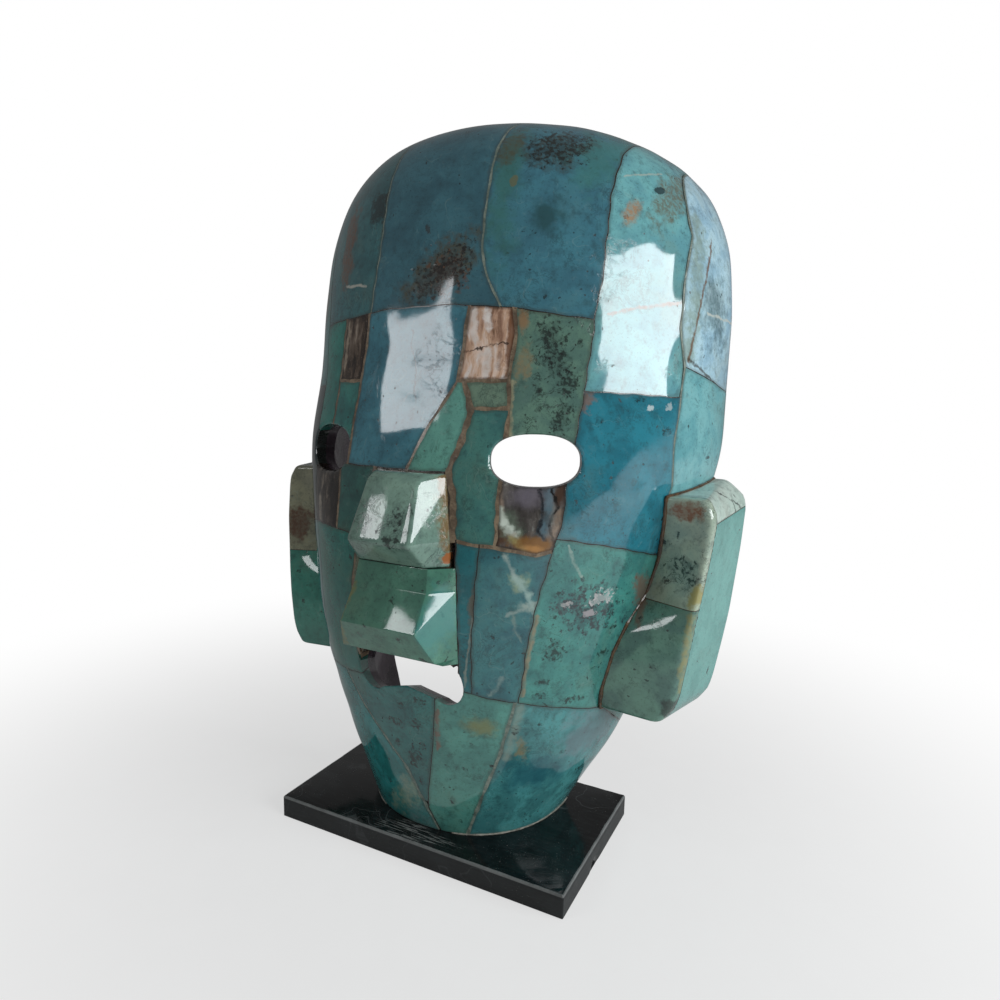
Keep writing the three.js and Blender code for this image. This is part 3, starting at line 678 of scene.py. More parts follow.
@dataclass(frozen=True)
class MarbleFinish(Finish):
    """Black polished marble, worn pale along its upper arris, with scratches and smears; the pale lines of
    the smears by the chin are partly painted glints.
    """

    half_width: float = 69.0
    half_depth: float = 38.5
    height: float = 10.0
    body: str = "0b0d0e"
    cloud: str = "1b1f21"
    vein: str = "6b6f70"
    sawn: str = "191b1c"
    worn: str = "8f9291"
    speck: str = "a9aaa6"
    # Pale colour of the scratches, which by the chin partly stands for painted glints on smeared glue.
    scratch_and_glint: str = "7d807e"

    def dress(self, sheet: NodeSheet) -> None:
        """Fill the material's node tree.

        Args:
            sheet: Sheet of the material.
        """
        place = self.millimetres(sheet)
        x, y, z = self.axes(sheet, place)
        bent = self.warped(sheet, place, 22.0, 12.0)
        clouds = self.noise(sheet, bent, 14.0, 5.0, 0.62)
        colour = sheet.blend(self.body, self.cloud, clouds.band(0.45, 0.7))
        veins = (self.noise(sheet, bent, 40.0, 3.0) - 0.5).size().below(0.001, 0.006)
        colour = sheet.blend(colour, self.vein, veins * 0.25)
        dust = self.noise(sheet, place, 0.5, 2.0)
        grime = self.noise(sheet, place, 9.0, 4.0, 0.65)
        near = (x.size() - self.half_width).larger(y.size() - self.half_depth)
        side = near.band(-0.5, -0.1)
        drawn = sheet.vector("MULTIPLY", place, (0.15, 0.15, 1.6))
        sawn = self.noise(sheet, drawn, 1.4, 3.0).band(0.4, 0.7)
        colour = sheet.blend(colour, self.sawn, side * (sawn * 0.6 + 0.3))
        worn = (near + (grime - 0.5) * 0.6).band(-0.9, -0.6) * z.band(self.height - 1.2, self.height - 0.8)
        colour = sheet.blend(colour, self.worn, worn * (grime * 0.8 + 0.2))
        specks = dust.band(0.66, 0.74) * grime.band(0.45, 0.6)
        colour = sheet.blend(colour, self.speck, specks * 0.6)
        # Pale lines: real scratches, and in the patch by the chin partly painted glints on smeared glue.
        scratch_and_glint = self._scratch_and_glint_lines(sheet, place, x, y) * (1 - side)
        colour = sheet.blend(colour, self.scratch_and_glint, scratch_and_glint)
        roughness = grime * 0.12 + side * 0.25 + worn * 0.3 + scratch_and_glint * 0.3 + specks * 0.4 + 0.07
        height = grime * 0.12 + dust * 0.02 + sawn * side * 0.06 - scratch_and_glint * 0.03
        self.surface(sheet, colour, roughness, height, 0.3, {"IOR": 1.5})

    def _scratch_and_glint_lines(self, sheet: NodeSheet, place: Wire, x: Wire, y: Wire) -> Wire:
        """Fine pale scratches, thickest in a patch of smeared glue near the front of the chin, where they are
        partly painted glints.

        Args:
            sheet: Sheet of the material.
            place: Places in millimetres.
            x: Their distance from the middle.
            y: Their depth.

        Returns:
            A mask of 0 to 1.
        """
        lines = self.noise(sheet, sheet.vector("MULTIPLY", place, (0.12, 1.9, 0.4)), 1.2, 3.0, 0.6)
        reach = (((x + 1) / 20) ** 2 + ((y + 33) / 6) ** 2) ** 0.5
        patch = (reach + (self.noise(sheet, place, 5.0, 3.0) - 0.5) * 1.6).below(0.5, 1.1)
        return lines.band(0.5, 0.62) * (patch * 0.85 + 0.04)


@dataclass(frozen=True)
class FaceForm:
    """Outer surface of the mask, in millimetres: stations up the face, then a rounded crown."""

    heights: tuple[float, ...] = (10, 50, 90, 130, 170, 205)
    halves: tuple[float, ...] = (46, 67, 78.5, 89, 98, 98)
    fronts: tuple[float, ...] = (-27, -35.5, -46.5, -45.5, -39, -30)
    brow: float = 205.0
    crown: float = 307.0
    rounding_across: float = 3.2
    rounding_back: float = 4.5
    squareness: float = 2.2
    rim_depth: float = 59.0
    rim_lean: float = 0.19
    rim_bow: float = -0.0005
    rim_middle: float = 150.0
    chin: float = 10.3
    chin_blend: float = 40.0

    def along(self, values: Sequence[float], z: Array, end_slope: float) -> Array:
        """Smooth curve through the stations.

        Args:
            values: One value for each station.
            z: Heights in millimetres.
            end_slope: Slope at the brow.

        Returns:
            The values at those heights.
        """
        h, v = np.asarray(self.heights, float), np.asarray(values, float)
        slopes = np.diff(v) / np.diff(h)
        tangents = np.r_[slopes[0], (slopes[1:] + slopes[:-1]) / 2, end_slope]
        i = np.clip(np.searchsorted(h, z, side="right") - 1, 0, len(h) - 2)
        span = h[i + 1] - h[i]
        t = (z - h[i]) / span
        rise = t * t * (3 - 2 * t)
        lead = t * (1 - t) ** 2 * span * tangents[i]
        trail = t * t * (t - 1) * span * tangents[i + 1]
        return v[i] + (v[i + 1] - v[i]) * rise + lead + trail

    def rim(self, z: Array) -> Array:
        """Depth of the rim at a height."""
        h = z - self.rim_middle
        return self.rim_depth + self.rim_lean * h + self.rim_bow * h * h

    def section(self, z: Array) -> tuple[Array, Array, Array]:
        """Half width, front depth and rim depth of the level section at a height.

        Args:
            z: Heights in millimetres.

        Returns:
            The three measures for each height.
        """
        z = np.asarray(z, float)
        rim = self.rim(z)
        slope = self.rim_lean + 2 * self.rim_bow * (self.brow - self.rim_middle)
        low = np.minimum(z, self.brow)
        rise = np.clip((z - self.brow) / (self.crown - self.brow), 0, 1)
        across = (1 - rise ** self.rounding_across) ** (1 / self.rounding_across)
        back = (1 - rise ** self.rounding_back) ** (1 / self.rounding_back)
        depth = self.rim(np.float64(self.brow)) - self.fronts[-1]
        half = np.where(z <= self.brow, self.along(self.halves, low, 0), self.halves[-1] * across)
        front = np.where(z <= self.brow, self.along(self.fronts, low, slope), rim - depth * back)
        return half, front, rim

    def point(self, turn: Array, z: Array) -> Array:
        """Places of the surface by turn, 0 at the middle and a right angle at the rim.

        Args:
            turn: Turns.
            z: Heights in millimetres.

        Returns:
            Places in millimetres.
        """
        turn, z = np.broadcast_arrays(np.asarray(turn, float), np.asarray(z, float))
        half, front, rim = self.section(z)
        power = 2 / self.squareness
        x = half * np.sign(turn) * np.abs(np.sin(turn)) ** power
        y = rim - (rim - front) * np.maximum(np.cos(turn), 0) ** power
        return np.stack([x, y, z], -1)

    def sheet(self, heights: Array, columns: int) -> Array:
        """Grid of places from rim to rim at each height."""
        return self.point(np.linspace(-QUARTER, QUARTER, columns)[None, :], heights[:, None])

    def turn_at(self, x: Array, z: Array) -> Array:
        """Turn at which the section reaches a distance from the middle."""
        share = np.minimum(np.abs(x) / np.maximum(self.section(z)[0], 1e-6), 1)
        return np.sign(x) * np.arcsin(share ** (self.squareness / 2))

    def reach(self, y: Array, z: Array) -> Array:
        """Distance from the middle at which the section has a depth."""
        half, front, rim = self.section(z)
        share = np.clip((rim - y) / (rim - front), 0, 1)
        return half * (1 - share ** self.squareness) ** (1 / self.squareness)

    def shifted(self, turn: Array, z: Array, distance: Array | float) -> Array:
        """Turn moved along the section by a distance.

        Args:
            turn: Turns.
            z: Heights in millimetres.
            distance: How far they move, in millimetres.

        Returns:
            The moved turns.
        """
        step = 1e-3
        ahead, behind = self.point(turn + step, z), self.point(turn - step, z)
        length = np.linalg.norm(ahead - behind, axis=-1) / (2 * step)
        return turn + distance / np.maximum(length, 1)

    def rim_height(self, x_at: Callable[[Array], Array], count: int) -> Array:
        """Heights at which the crown's outline reaches the given distances from the middle.

        Args:
            x_at: Gives the distances for heights.
            count: Number of distances.

        Returns:
            One height for each distance.
        """
        low, high = np.full(count, self.brow), np.full(count, self.crown)
        for _ in range(40):
            z = (low + high) / 2
            inside = self.section(z)[0] > np.abs(x_at(z))
            low, high = np.where(inside, z, low), np.where(inside, high, z)
        return (low + high) / 2

    def _level(self, x: Array, y: Array, z: Array) -> Array:
        """Value that is one on the surface and grows outwards.

        Args:
            x: Distances from the middle.
            y: Depths.
            z: Heights.

        Returns:
            The value at each place.
        """
        half, front, rim = self.section(z)
        across = np.abs(x) / np.maximum(half, 0.02)
        back = np.maximum(rim - y, 0) / np.maximum(rim - front, 0.02)
        return across ** self.squareness + back ** self.squareness

    def outward(self, p: Array) -> Array:
        """Outward directions, level near the chin where the mask stands on its slab.

        Args:
            p: Places in millimetres.

        Returns:
            A direction of length one for each place.
        """
        x, y, z = p[..., 0], p[..., 1], p[..., 2]
        d = 0.05
        smooth = np.stack([
            self._level(x + d, y, z) - self._level(x - d, y, z),
            self._level(x, y + d, z) - self._level(x, y - d, z),
            self._level(x, y, z + d) - self._level(x, y, z - d)], -1)
        half, _, rim = self.section(z)
        slope = (self.section(z + d)[0] - self.section(z - d)[0]) / (2 * d)
        edge = np.stack([np.where(np.abs(x) < 0.02, 0, np.sign(x)), np.zeros_like(x), -slope], -1)
        n = np.where((rim - y < 0.02)[..., None], edge, smooth)
        n /= np.maximum(np.linalg.norm(n, axis=-1, keepdims=True), 1e-12)
        t = np.clip((z - self.chin) / self.chin_blend, 0, 1)
        n[..., 2] *= t * t * (3 - 2 * t)
        return n / np.maximum(np.linalg.norm(n, axis=-1, keepdims=True), 1e-12)


@dataclass(frozen=True)
class Opening:
    """Hole through the wall: a flat outline in x and height, pushed along a tilted axis."""

    name: str
    outline: Array
    place: tuple[float, float, float]
    turn: float
    drop: float
    rounding: float
    length: float = 60.0

    def local(self, p: Array) -> Array:
        """Places in the hole's own frame, where its axis runs along the second coordinate.

        Args:
            p: Places in millimetres.

        Returns:
            The same places in that frame.
        """
        q = p - np.asarray(self.place)
        a = math.radians(self.turn)
        x = q[..., 0] * math.cos(a) + q[..., 1] * math.sin(a)
        y = q[..., 1] * math.cos(a) - q[..., 0] * math.sin(a)
        return np.stack([x, y, q[..., 2] + self.drop * y], -1)

    def distance(self, p: Array) -> Array:
        """Distance from the outline, negative inside it.

        Args:
            p: Places in millimetres.

        Returns:
            Distances in millimetres, 99 for places far away.
        """
        q = self.local(p)
        flat = q[..., [0, 2]].reshape(-1, 2)
        result = np.full(len(flat), 99.0)
        size = np.abs(self.outline).max(0) + 8
        near = (np.abs(flat) < size).all(-1) & (np.abs(q[..., 1].reshape(-1)) < self.length / 2)
        a, b = self.outline, np.roll(self.outline, -1, 0)
        d = b - a
        for i in np.nonzero(near)[0]:
            r = flat[i] - a
            t = np.clip((r * d).sum(1) / (d * d).sum(1), 0, 1)
            gap = np.sqrt(((r - d * t[:, None]) ** 2).sum(1)).min()
            crossing = (a[:, 1] > flat[i, 1]) != (b[:, 1] > flat[i, 1])
            rise = np.where(crossing, b[:, 1] - a[:, 1], 1)
            at = a[:, 0] + (flat[i, 1] - a[:, 1]) / rise * d[:, 0]
            inside = (crossing & (flat[i, 0] < at)).sum() % 2 == 1
            result[i] = -gap if inside else gap
        return result.reshape(q.shape[:-1])

    def sink(self, p: Array) -> Array:
        """How far the surface is rounded down near the outline."""
        inner = np.clip(self.rounding - self.distance(p), 0, self.rounding)
        return self.rounding - np.sqrt(np.maximum(self.rounding ** 2 - inner ** 2, 0))

    def cutter(self) -> Thing:
        """Closed body of the hole.

        Returns:
            The body's object.
        """
        a = math.radians(self.turn)
        points = []
        for y in (-self.length / 2, self.length / 2):
            for x, z in self.outline:
                points.append((x * math.cos(a) - y * math.sin(a) + self.place[0],
                               x * math.sin(a) + y * math.cos(a) + self.place[1],
                               z - self.drop * y + self.place[2]))
        n = len(self.outline)
        faces = [tuple(range(n)), tuple(reversed(range(n, 2 * n)))]
        faces += [(i, i + n, (i + 1) % n + n, (i + 1) % n) for i in range(n)]
        return Workshop.body("cutter_" + self.name, np.array(points), faces)


def eye_opening(name: str, side: int) -> Opening:
    """Rounded oblong eye hole on one side of the face.

    Args:
        name: Name of the hole.
        side: 1 for the viewer's right, -1 for the left.

    Returns:
        The hole.
    """
    angles = np.linspace(0, 2 * math.pi, 64, endpoint=False)
    power = 2 / 2.4
    c, s = np.cos(angles), np.sin(angles)
    outline = np.stack([16.8 * np.sign(c) * np.abs(c) ** power, 9.8 * np.sign(s) * np.abs(s) ** power], -1)
    return Opening(name, outline, (side * 48.2, -28.1, 170.2), side * 25.0, 0.06, 1.3)


def mouth_opening() -> Opening:
    """Mouth with a lobe at each end and a lower lip that rises between them.

    Returns:
        The hole.
    """
    reach, wide, high, rise = 16.3, 7.3, 8.6, -4.1
    lip = math.radians(125)
    right = np.linspace(-lip, QUARTER, 30)
    left = np.linspace(QUARTER, math.pi + lip, 30)
    places = [(0.0, rise)]
    places += [(reach + wide * math.cos(a), high * math.sin(a)) for a in right]
    places += [(-reach + wide * math.cos(a), high * math.sin(a)) for a in left]
    return Opening("mouth", np.array(places), (2.7, -43.0, 84.4), 0.0, 0.36, 1.0)


class Workshop:
    """Mesh tools that the pieces share."""

    @staticmethod
    def link(name: str, mesh: Mesh) -> Thing:
        """Put a mesh in the scene as an object at the origin."""
        made = bpy.data.objects.new(name, mesh)
        bpy.context.scene.collection.objects.link(made)
        return made

    @classmethod
    def body(cls, name: str, points: Array, faces: Sequence[Sequence[int]],
             edge: Array | None = None) -> Thing:
        """Closed body from places in millimetres.

        Args:
            name: Name of the object.
            points: Places, one row each.
            faces: Corners of each face.
            edge: Distance of each place from the edge of its stone.

        Returns:
            The object, with its doubles merged and its faces turned outwards.
        """
        mesh = bpy.data.meshes.new(name)
        mesh.from_pydata((points * MM).tolist(), [], [list(f) for f in faces])
        if edge is not None:
            cls.mark_edge(mesh, edge)
        cls.settle(mesh)
        return cls.link(name, mesh)

    @staticmethod
    @contextmanager
    def edited(mesh: Mesh) -> Iterator[bmesh.types.BMesh]:
        """Open a mesh for editing and write it back at the end.

        Args:
            mesh: The mesh, which may be empty.

        Yields:
            Its editable copy.
        """
        bm = bmesh.new()
        bm.from_mesh(mesh)
        yield bm
        bm.to_mesh(mesh)
        bm.free()

    @classmethod
    def settle(cls, mesh: Mesh) -> None:
        """Merge doubles and turn the faces outwards.

        Args:
            mesh: The mesh, which is changed.
        """
        with cls.edited(mesh) as bm:
            bmesh.ops.remove_doubles(bm, verts=bm.verts, dist=MERGE)
            bmesh.ops.dissolve_degenerate(bm, edges=bm.edges, dist=MERGE)
            bmesh.ops.recalc_face_normals(bm, faces=bm.faces)

    @staticmethod
    def refine(bm: bmesh.types.BMesh, step: float,
               picked: Callable[[bmesh.types.BMEdge], bool] = lambda edge: True) -> None:
        """Split a mesh's long edges.

        Args:
            bm: Mesh in metres.
            step: Length in millimetres above which an edge is split.
            picked: Tells which edges may be split.
        """
        for _ in range(6):
            long = [e for e in bm.edges if e.calc_length() > step * MM and picked(e)]
            if not long:
                break
            bmesh.ops.subdivide_edges(bm, edges=long, cuts=1, use_grid_fill=True)
        bmesh.ops.triangulate(bm, faces=[f for f in bm.faces if len(f.verts) > 4])

    @staticmethod
    def arrises(bm: bmesh.types.BMesh, least: float) -> list[bmesh.types.BMEdge]:
        """Edges at which two faces meet at more than an angle in degrees."""
        return [e for e in bm.edges
                if len(e.link_faces) == 2 and e.calc_face_angle(0) > math.radians(least)]

    @staticmethod
    def grid_faces(rows: int, columns: int) -> list[tuple[int, ...]]:
        """Faces of a closed body between a front grid and a back grid.

        Args:
            rows: Rows of each grid.
            columns: Columns of each grid.

        Returns:
            Corners of each face.
        """
        def at(layer: int, r: int, c: int) -> int:
            """Corner of a layer at a row and a column."""
            return (layer * rows + r) * columns + c

        faces = []
        for r in range(rows - 1):
            for c in range(columns - 1):
                faces.append((at(0, r, c), at(0, r, c + 1), at(0, r + 1, c + 1), at(0, r + 1, c)))
                faces.append((at(1, r, c), at(1, r + 1, c), at(1, r + 1, c + 1), at(1, r, c + 1)))
            faces.append((at(0, r, 0), at(0, r + 1, 0), at(1, r + 1, 0), at(1, r, 0)))
            last = columns - 1
            faces.append((at(0, r, last), at(1, r, last), at(1, r + 1, last), at(0, r + 1, last)))
        for c in range(columns - 1):
            top = rows - 1
            faces.append((at(0, 0, c), at(1, 0, c), at(1, 0, c + 1), at(0, 0, c + 1)))
            faces.append((at(0, top, c), at(0, top, c + 1), at(1, top, c + 1), at(1, top, c)))
        return faces

    @staticmethod
    def result(thing: Thing) -> Mesh:
        """Plain mesh of an object with its modifiers applied."""
        graph = bpy.context.evaluated_depsgraph_get()
        graph.update()
        return bpy.data.meshes.new_from_object(thing.evaluated_get(graph))

    @classmethod
    def cut(cls, thing: Thing, tool: Thing, operation: str = "DIFFERENCE") -> None:
        """Cut one closed body by another and keep the result as a plain mesh.

        Args:
            thing: Body that is cut.
            tool: Body that cuts it.
            operation: How the two are combined.
        """
        step = thing.modifiers.new("cut", "BOOLEAN")
        step.operation = operation
        step.solver = "MANIFOLD"
        step.object = tool
        mesh = cls.result(thing)
        if not mesh.polygons:
            step.solver = "EXACT"
            mesh = cls.result(thing)
        thing.modifiers.remove(step)
        thing.data = mesh

    @staticmethod
    def discard(thing: Thing) -> None:
        """Remove a helper object."""
        bpy.data.objects.remove(thing, do_unlink=True)

    @staticmethod
    def box(thing: Thing) -> tuple[Array, Array]:
        """Lowest and highest corner of an object's mesh in millimetres.

        Args:
            thing: The object.

        Returns:
            Both corners.
        """
        flat = np.empty(len(thing.data.vertices) * 3)
        thing.data.vertices.foreach_get("co", flat)
        places = flat.reshape(-1, 3) / MM
        return places.min(0), places.max(0)

    @classmethod
    def meets(cls, first: Thing, second: Thing) -> bool:
        """Whether the boxes of two objects overlap."""
        (a, b), (c, d) = cls.box(first), cls.box(second)
        return bool((a < d).all() and (c < b).all())

    @staticmethod
    def declare(thing: Thing, finish: Finish, nodes: Iterable[str] = (), smooth: float = 35.0) -> None:
        """Dress a piece, ride it on its body and hide the solids that it stands for.

        Args:
            thing: The piece.
            finish: Its only finish.
            nodes: Solids that it replaces.
            smooth: Angle in degrees below which its shading is smooth.
        """
        mesh = thing.data
        mesh.materials.clear()
        mesh.materials.append(finish.material())
        mesh.polygons.foreach_set("material_index", [0] * len(mesh.polygons))
        mesh.shade_smooth()
        mesh.set_sharp_from_angle(angle=math.radians(smooth))
        mesh.update()
        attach(thing, BODY)
        if nodes:
            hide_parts(*nodes)
        LOG.info("%s: %d faces", thing.name, len(mesh.polygons))

    @classmethod
    def joined(cls, name: str, things: Sequence[Thing]) -> Thing:
        """Join several objects' meshes in one object.

        Args:
            name: Name of the new object.
            things: Objects, which are removed.

        Returns:
            The new object.
        """
        bm = bmesh.new()
        for thing in things:
            bm.from_mesh(thing.data)
        mesh = bpy.data.meshes.new(name)
        bm.to_mesh(mesh)
        bm.free()
        for thing in things:
            cls.discard(thing)
        return cls.link(name, mesh)

    @staticmethod
    def mark_edge(mesh: Mesh, edge: Array) -> None:
        """Store the distance of each place from the edge of its stone."""
        layer = mesh.attributes.new("edge", "FLOAT", "POINT")
        layer.data.foreach_set("value", np.asarray(edge, np.float32))


class Grout(Enum):
    """What fills a joint between two stones."""

    HAIRLINE = 0
    AMBER = 1
    PALE = 2


@dataclass(frozen=True)
class Joint:
    """Joint between stones through places of x and z, cut and filled by hand."""

    name: str
    places: tuple[Place, ...] = ()
    gap: float = 0.4
    grout: Grout = Grout.HAIRLINE

    def _seed(self, start: int, step: int) -> int:
        """Fixed seed of the joint's unevenness, from its name."""
        return start + sum(ord(letter) * (i + step) for i, letter in enumerate(self.name))

    def _half_width(self, along: Array, seed: int) -> Array:
        """Half the joint's width, which varies a little along it."""
        return self.gap / 2 * (1 + 0.3 * ripple(along[..., None], (6.0, 14.0), seed + 1))


@dataclass(frozen=True)
class Seam(Joint):
    """Upright joint, its places from the lowest up."""

    side: int = 0
    wander: float = 0.28

    def x_at(self, z: Array) -> Array:
        """Distance from the middle at a height."""
        z = np.asarray(z, float)
        straight = np.interp(z, [place[1] for place in self.places], [place[0] for place in self.places])
        return straight + self.wander * ripple(z[..., None], (9.0, 21.0), self._seed(0, 3))

    def turn(self, form: FaceForm, z: Array) -> Array:
        """Turn at a height."""
        if self.side:
            return np.full(np.shape(z), self.side * QUARTER)
        return form.turn_at(self.x_at(z), z)

    def half_gap(self, z: Array) -> Array:
        """Half the joint's width at a height."""
        if self.side:
            return np.zeros(np.shape(z))
        return self._half_width(np.asarray(z, float), self._seed(0, 3))


@dataclass(frozen=True)
class Level(Joint):
    """Level joint, its places from the viewer's left to the right."""

    wander: float = 0.22

    def height_at(self, form: FaceForm, turn: Array) -> Array:
        """Height at a turn.

        Args:
            form: The face's form.
            turn: Turns.

        Returns:
            Heights in millimetres.
        """
        turns = [float(form.turn_at(np.float64(x), np.float64(z))) for x, z in self.places]
        straight = np.interp(turn, turns, [z for _, z in self.places])
        if not self.gap:
            return straight
        along = np.asarray(turn, float)[..., None] * TURN_LENGTH
        return straight + self.wander * ripple(along, (9.0, 20.0), self._seed(500, 5))

    def half_gap(self, turn: Array) -> Array:
        """Half the joint's width at a turn."""
        return self._half_width(np.asarray(turn, float) * TURN_LENGTH, self._seed(500, 5))


@dataclass(frozen=True)
class Patch:
    """Grid of turns and heights that covers one stone, with its distance from the stone's edge."""

    turn: Array
    height: Array
    edge: Array


@dataclass(frozen=True)
class StonePlan:
    """One stone of the mosaic between its four joints."""

    name: str
    left: str
    right: str
    low: str
    high: str
    finish: Finish
    fine: bool = False


@dataclass
class Mosaic:
    """Skin of ground stones over the face, with the resin in its joints."""

    form: FaceForm
    openings: tuple[Opening, ...]
    seams: dict[str, Seam]
    levels: dict[str, Level]
    thickness: float = 5.0
    cell: float = 1.9
    fine_cell: float = 0.8
    rim_rounding: float = 1.2
    uneven: float = 0.22
    grout_sink: float = 0.07
    bed_sink: float = 0.3
    bed: float = 5.03
    hollow: float = 9.5
    rough_back: float = 0.35
    grout_overlap: float = 0.12
    clearance: float = 2.5
    first_height: float = 165.0
    first_crown_height: float = 215.0
    spans: dict[str, list[tuple[float, float]]] = field(default_factory=dict)

    def skin(self, turn: Array, z: Array, deeper: float = 0.0) -> Array:
        """Places of the ground surface, a little below the true form and rounded at its edges.

        Args:
            turn: Turns.
            z: Heights in millimetres.
            deeper: Extra depth.

        Returns:
            Places in millimetres.
        """
        p = self.form.point(turn, z)
        depth = self.uneven * (1 + ripple(p, (16.0, 33.0), 7)) + deeper
        for opening in self.openings:
            depth = depth + opening.sink(p)
        from_rim = np.clip(self.form.section(p[..., 2])[2] - p[..., 1], 0, self.rim_rounding)
        lean = self.rim_rounding - from_rim
        depth = depth + self.rim_rounding - np.sqrt(np.maximum(self.rim_rounding ** 2 - lean ** 2, 0))
        return p - self.form.outward(p) * depth[..., None]

    def _note(self, name: str, start: float, stop: float) -> None:
        """Remember that a stone uses a stretch of a joint."""
        self.spans.setdefault(name, []).append((min(start, stop), max(start, stop)))

    def patch(self, plan: StonePlan) -> Patch:
        """Lay a stone's grid between its joints.

        Args:
            plan: The stone's four joints.

        Returns:
            The grid.
        """
        form, left, right = self.form, self.seams[plan.left], self.seams[plan.right]
        low, high = self.levels[plan.low], self.levels[plan.high]

        def start(z: Array) -> Array:
            """Turn of the stone's left edge."""
            return form.shifted(left.turn(form, z), z, left.half_gap(z))

        def stop(z: Array) -> Array:
            """Turn of the stone's right edge."""
            return np.maximum(form.shifted(right.turn(form, z), z, -right.half_gap(z)), start(z))

        cell = self.fine_cell if plan.fine else self.cell
        middle = np.float64((low.height_at(form, np.float64(0)) + high.height_at(form, np.float64(0))) / 2)
        width = float(np.linalg.norm(form.point(start(middle), middle) - form.point(stop(middle), middle)))
        columns = max(4, math.ceil(width / cell) + 1)
        across = np.linspace(0, 1, columns)

        def column(z: Array) -> Array:
            """Turns of the grid's columns."""
            a = start(z)
            return a + (stop(z) - a) * across

        def meeting(edge: Level) -> Array:
            """Heights at which the columns meet a level joint.

            Args:
                edge: The joint.

            Returns:
                One height for each column.
            """
            z = edge.height_at(form, column(np.full(columns, self.first_height)))
            for _ in range(8):
                z = edge.height_at(form, column(z))
            return z

        foot, head = meeting(low), meeting(high)
        self._note(plan.left, foot[0], head[0])
        self._note(plan.right, foot[-1], head[-1])
        self._note(plan.low, column(foot)[0], column(foot)[-1])
        self._note(plan.high, column(head)[0], column(head)[-1])
        foot = foot + low.half_gap(column(foot)) * (low.gap > 0)
        head = head - high.half_gap(column(head)) * (high.gap > 0)
        rows = max(4, math.ceil(float((head - foot).max()) / cell) + 1)
        z = foot + (head - foot) * np.linspace(0, 1, rows)[:, None]
        turn = column(z)
        return Patch(turn, z, self._edge(form.point(turn, z)))

    def crown_patch(self, plan: StonePlan) -> Patch:
        """Lay a crown stone's grid from a lower joint over the top to the rim.

        Args:
            plan: The stone's joints.

        Returns:
            The grid.
        """
        form, left, right = self.form, self.seams[plan.left], self.seams[plan.right]
        low = self.levels[plan.low]
        brow = np.float64(form.brow)
        columns = math.ceil((right.x_at(brow) - left.x_at(brow)) / self.cell) + 1
        across = np.linspace(0, 1, columns)

        def x_at(z: Array) -> Array:
            """Distances from the middle of the grid's columns."""
            a, b = left.x_at(z) + left.half_gap(z), right.x_at(z) - right.half_gap(z)
            return a + (b - a) * across

        foot = np.full(columns, self.first_crown_height)
        for _ in range(9):
            foot = low.height_at(form, form.turn_at(x_at(foot), foot))
        top = form.rim_height(x_at, columns)
        self._note(plan.left, foot[0], top[0])
        self._note(plan.right, foot[-1], top[-1])
        turns = form.turn_at(x_at(foot), foot)
        self._note(plan.low, turns[0], turns[-1])
        foot = foot + low.half_gap(turns)
        rows = math.ceil((form.crown - foot.min() + form.rim_depth) / self.cell)
        rise = np.sin(np.linspace(0, QUARTER, rows))[:, None]
        z = foot + (top - foot) * rise
        turn = form.turn_at(x_at(z), z)
        turn[-1] = np.where(x_at(top) < 0, -QUARTER, QUARTER)
        return Patch(turn, z, self._edge(form.point(turn, z)))

    @staticmethod
    def _edge(p: Array) -> Array:
        """Distance of each grid place from the grid's border.

        Args:
            p: Places of the grid, by row and column.

        Returns:
            Distances in millimetres.
        """
        across = np.linalg.norm(np.diff(p, axis=1), axis=-1)
        up = np.linalg.norm(np.diff(p, axis=0), axis=-1)
        zero_column, zero_row = np.zeros((p.shape[0], 1)), np.zeros((1, p.shape[1]))
        from_left = np.concatenate([zero_column, across.cumsum(1)], 1)
        from_foot = np.concatenate([zero_row, up.cumsum(0)], 0)
        return np.minimum(np.minimum(from_left, from_left[:, -1:] - from_left),
                          np.minimum(from_foot, from_foot[-1:] - from_foot))

    def slab(self, name: str, patch: Patch, deeper: float = 0.0) -> Thing:
        """Make a closed body over a grid, with the openings cut.

        Args:
            name: Name of the object.
            patch: The grid.
            deeper: How far its front lies below the ground surface.

        Returns:
            The object.
        """
        front = self.skin(patch.turn, patch.height, deeper)
        under = self.form.point(patch.turn, patch.height)
        back = under - self.form.outward(under) * self.thickness
        points = np.concatenate([front.reshape(-1, 3), back.reshape(-1, 3)])
        edge = np.tile(patch.edge.reshape(-1), 2)
        made = Workshop.body(name, points, Workshop.grid_faces(*patch.turn.shape), edge)
        self.pierce(made)
        return made

    def stone(self, plan: StonePlan, patch: Patch) -> None:
        """Make a stone over its grid."""
        made = self.slab("stone_" + plan.name, patch)
        Workshop.declare(made, plan.finish, [plan.name])

    def nose_bed(self, finish: Finish) -> None:
        """Lay the resin in which the nose's blocks sit."""
        plan = StonePlan("nose_bed", "nose_left", "nose_right", "jaw", "bridge_foot", finish)
        made = self.slab("resin_nose_bed", self.patch(plan), self.bed_sink)
        Workshop.declare(made, finish)

    def pierce(self, thing: Thing) -> None:
        """Cut the openings that meet a piece.

        Args:
            thing: The piece.
        """
        for opening in self.openings:
            tool = opening.cutter()
            if Workshop.meets(thing, tool):
                Workshop.cut(thing, tool)
            Workshop.discard(tool)

    def trim(self, thing: Thing) -> None:
        """Hold a piece's places above the chin and in front of the rim."""
        for corner in thing.data.vertices:
            corner.co.z = max(corner.co.z, self.form.chin * MM)
            corner.co.y = min(corner.co.y, (float(self.form.rim(corner.co.z / MM)) - 0.02) * MM)

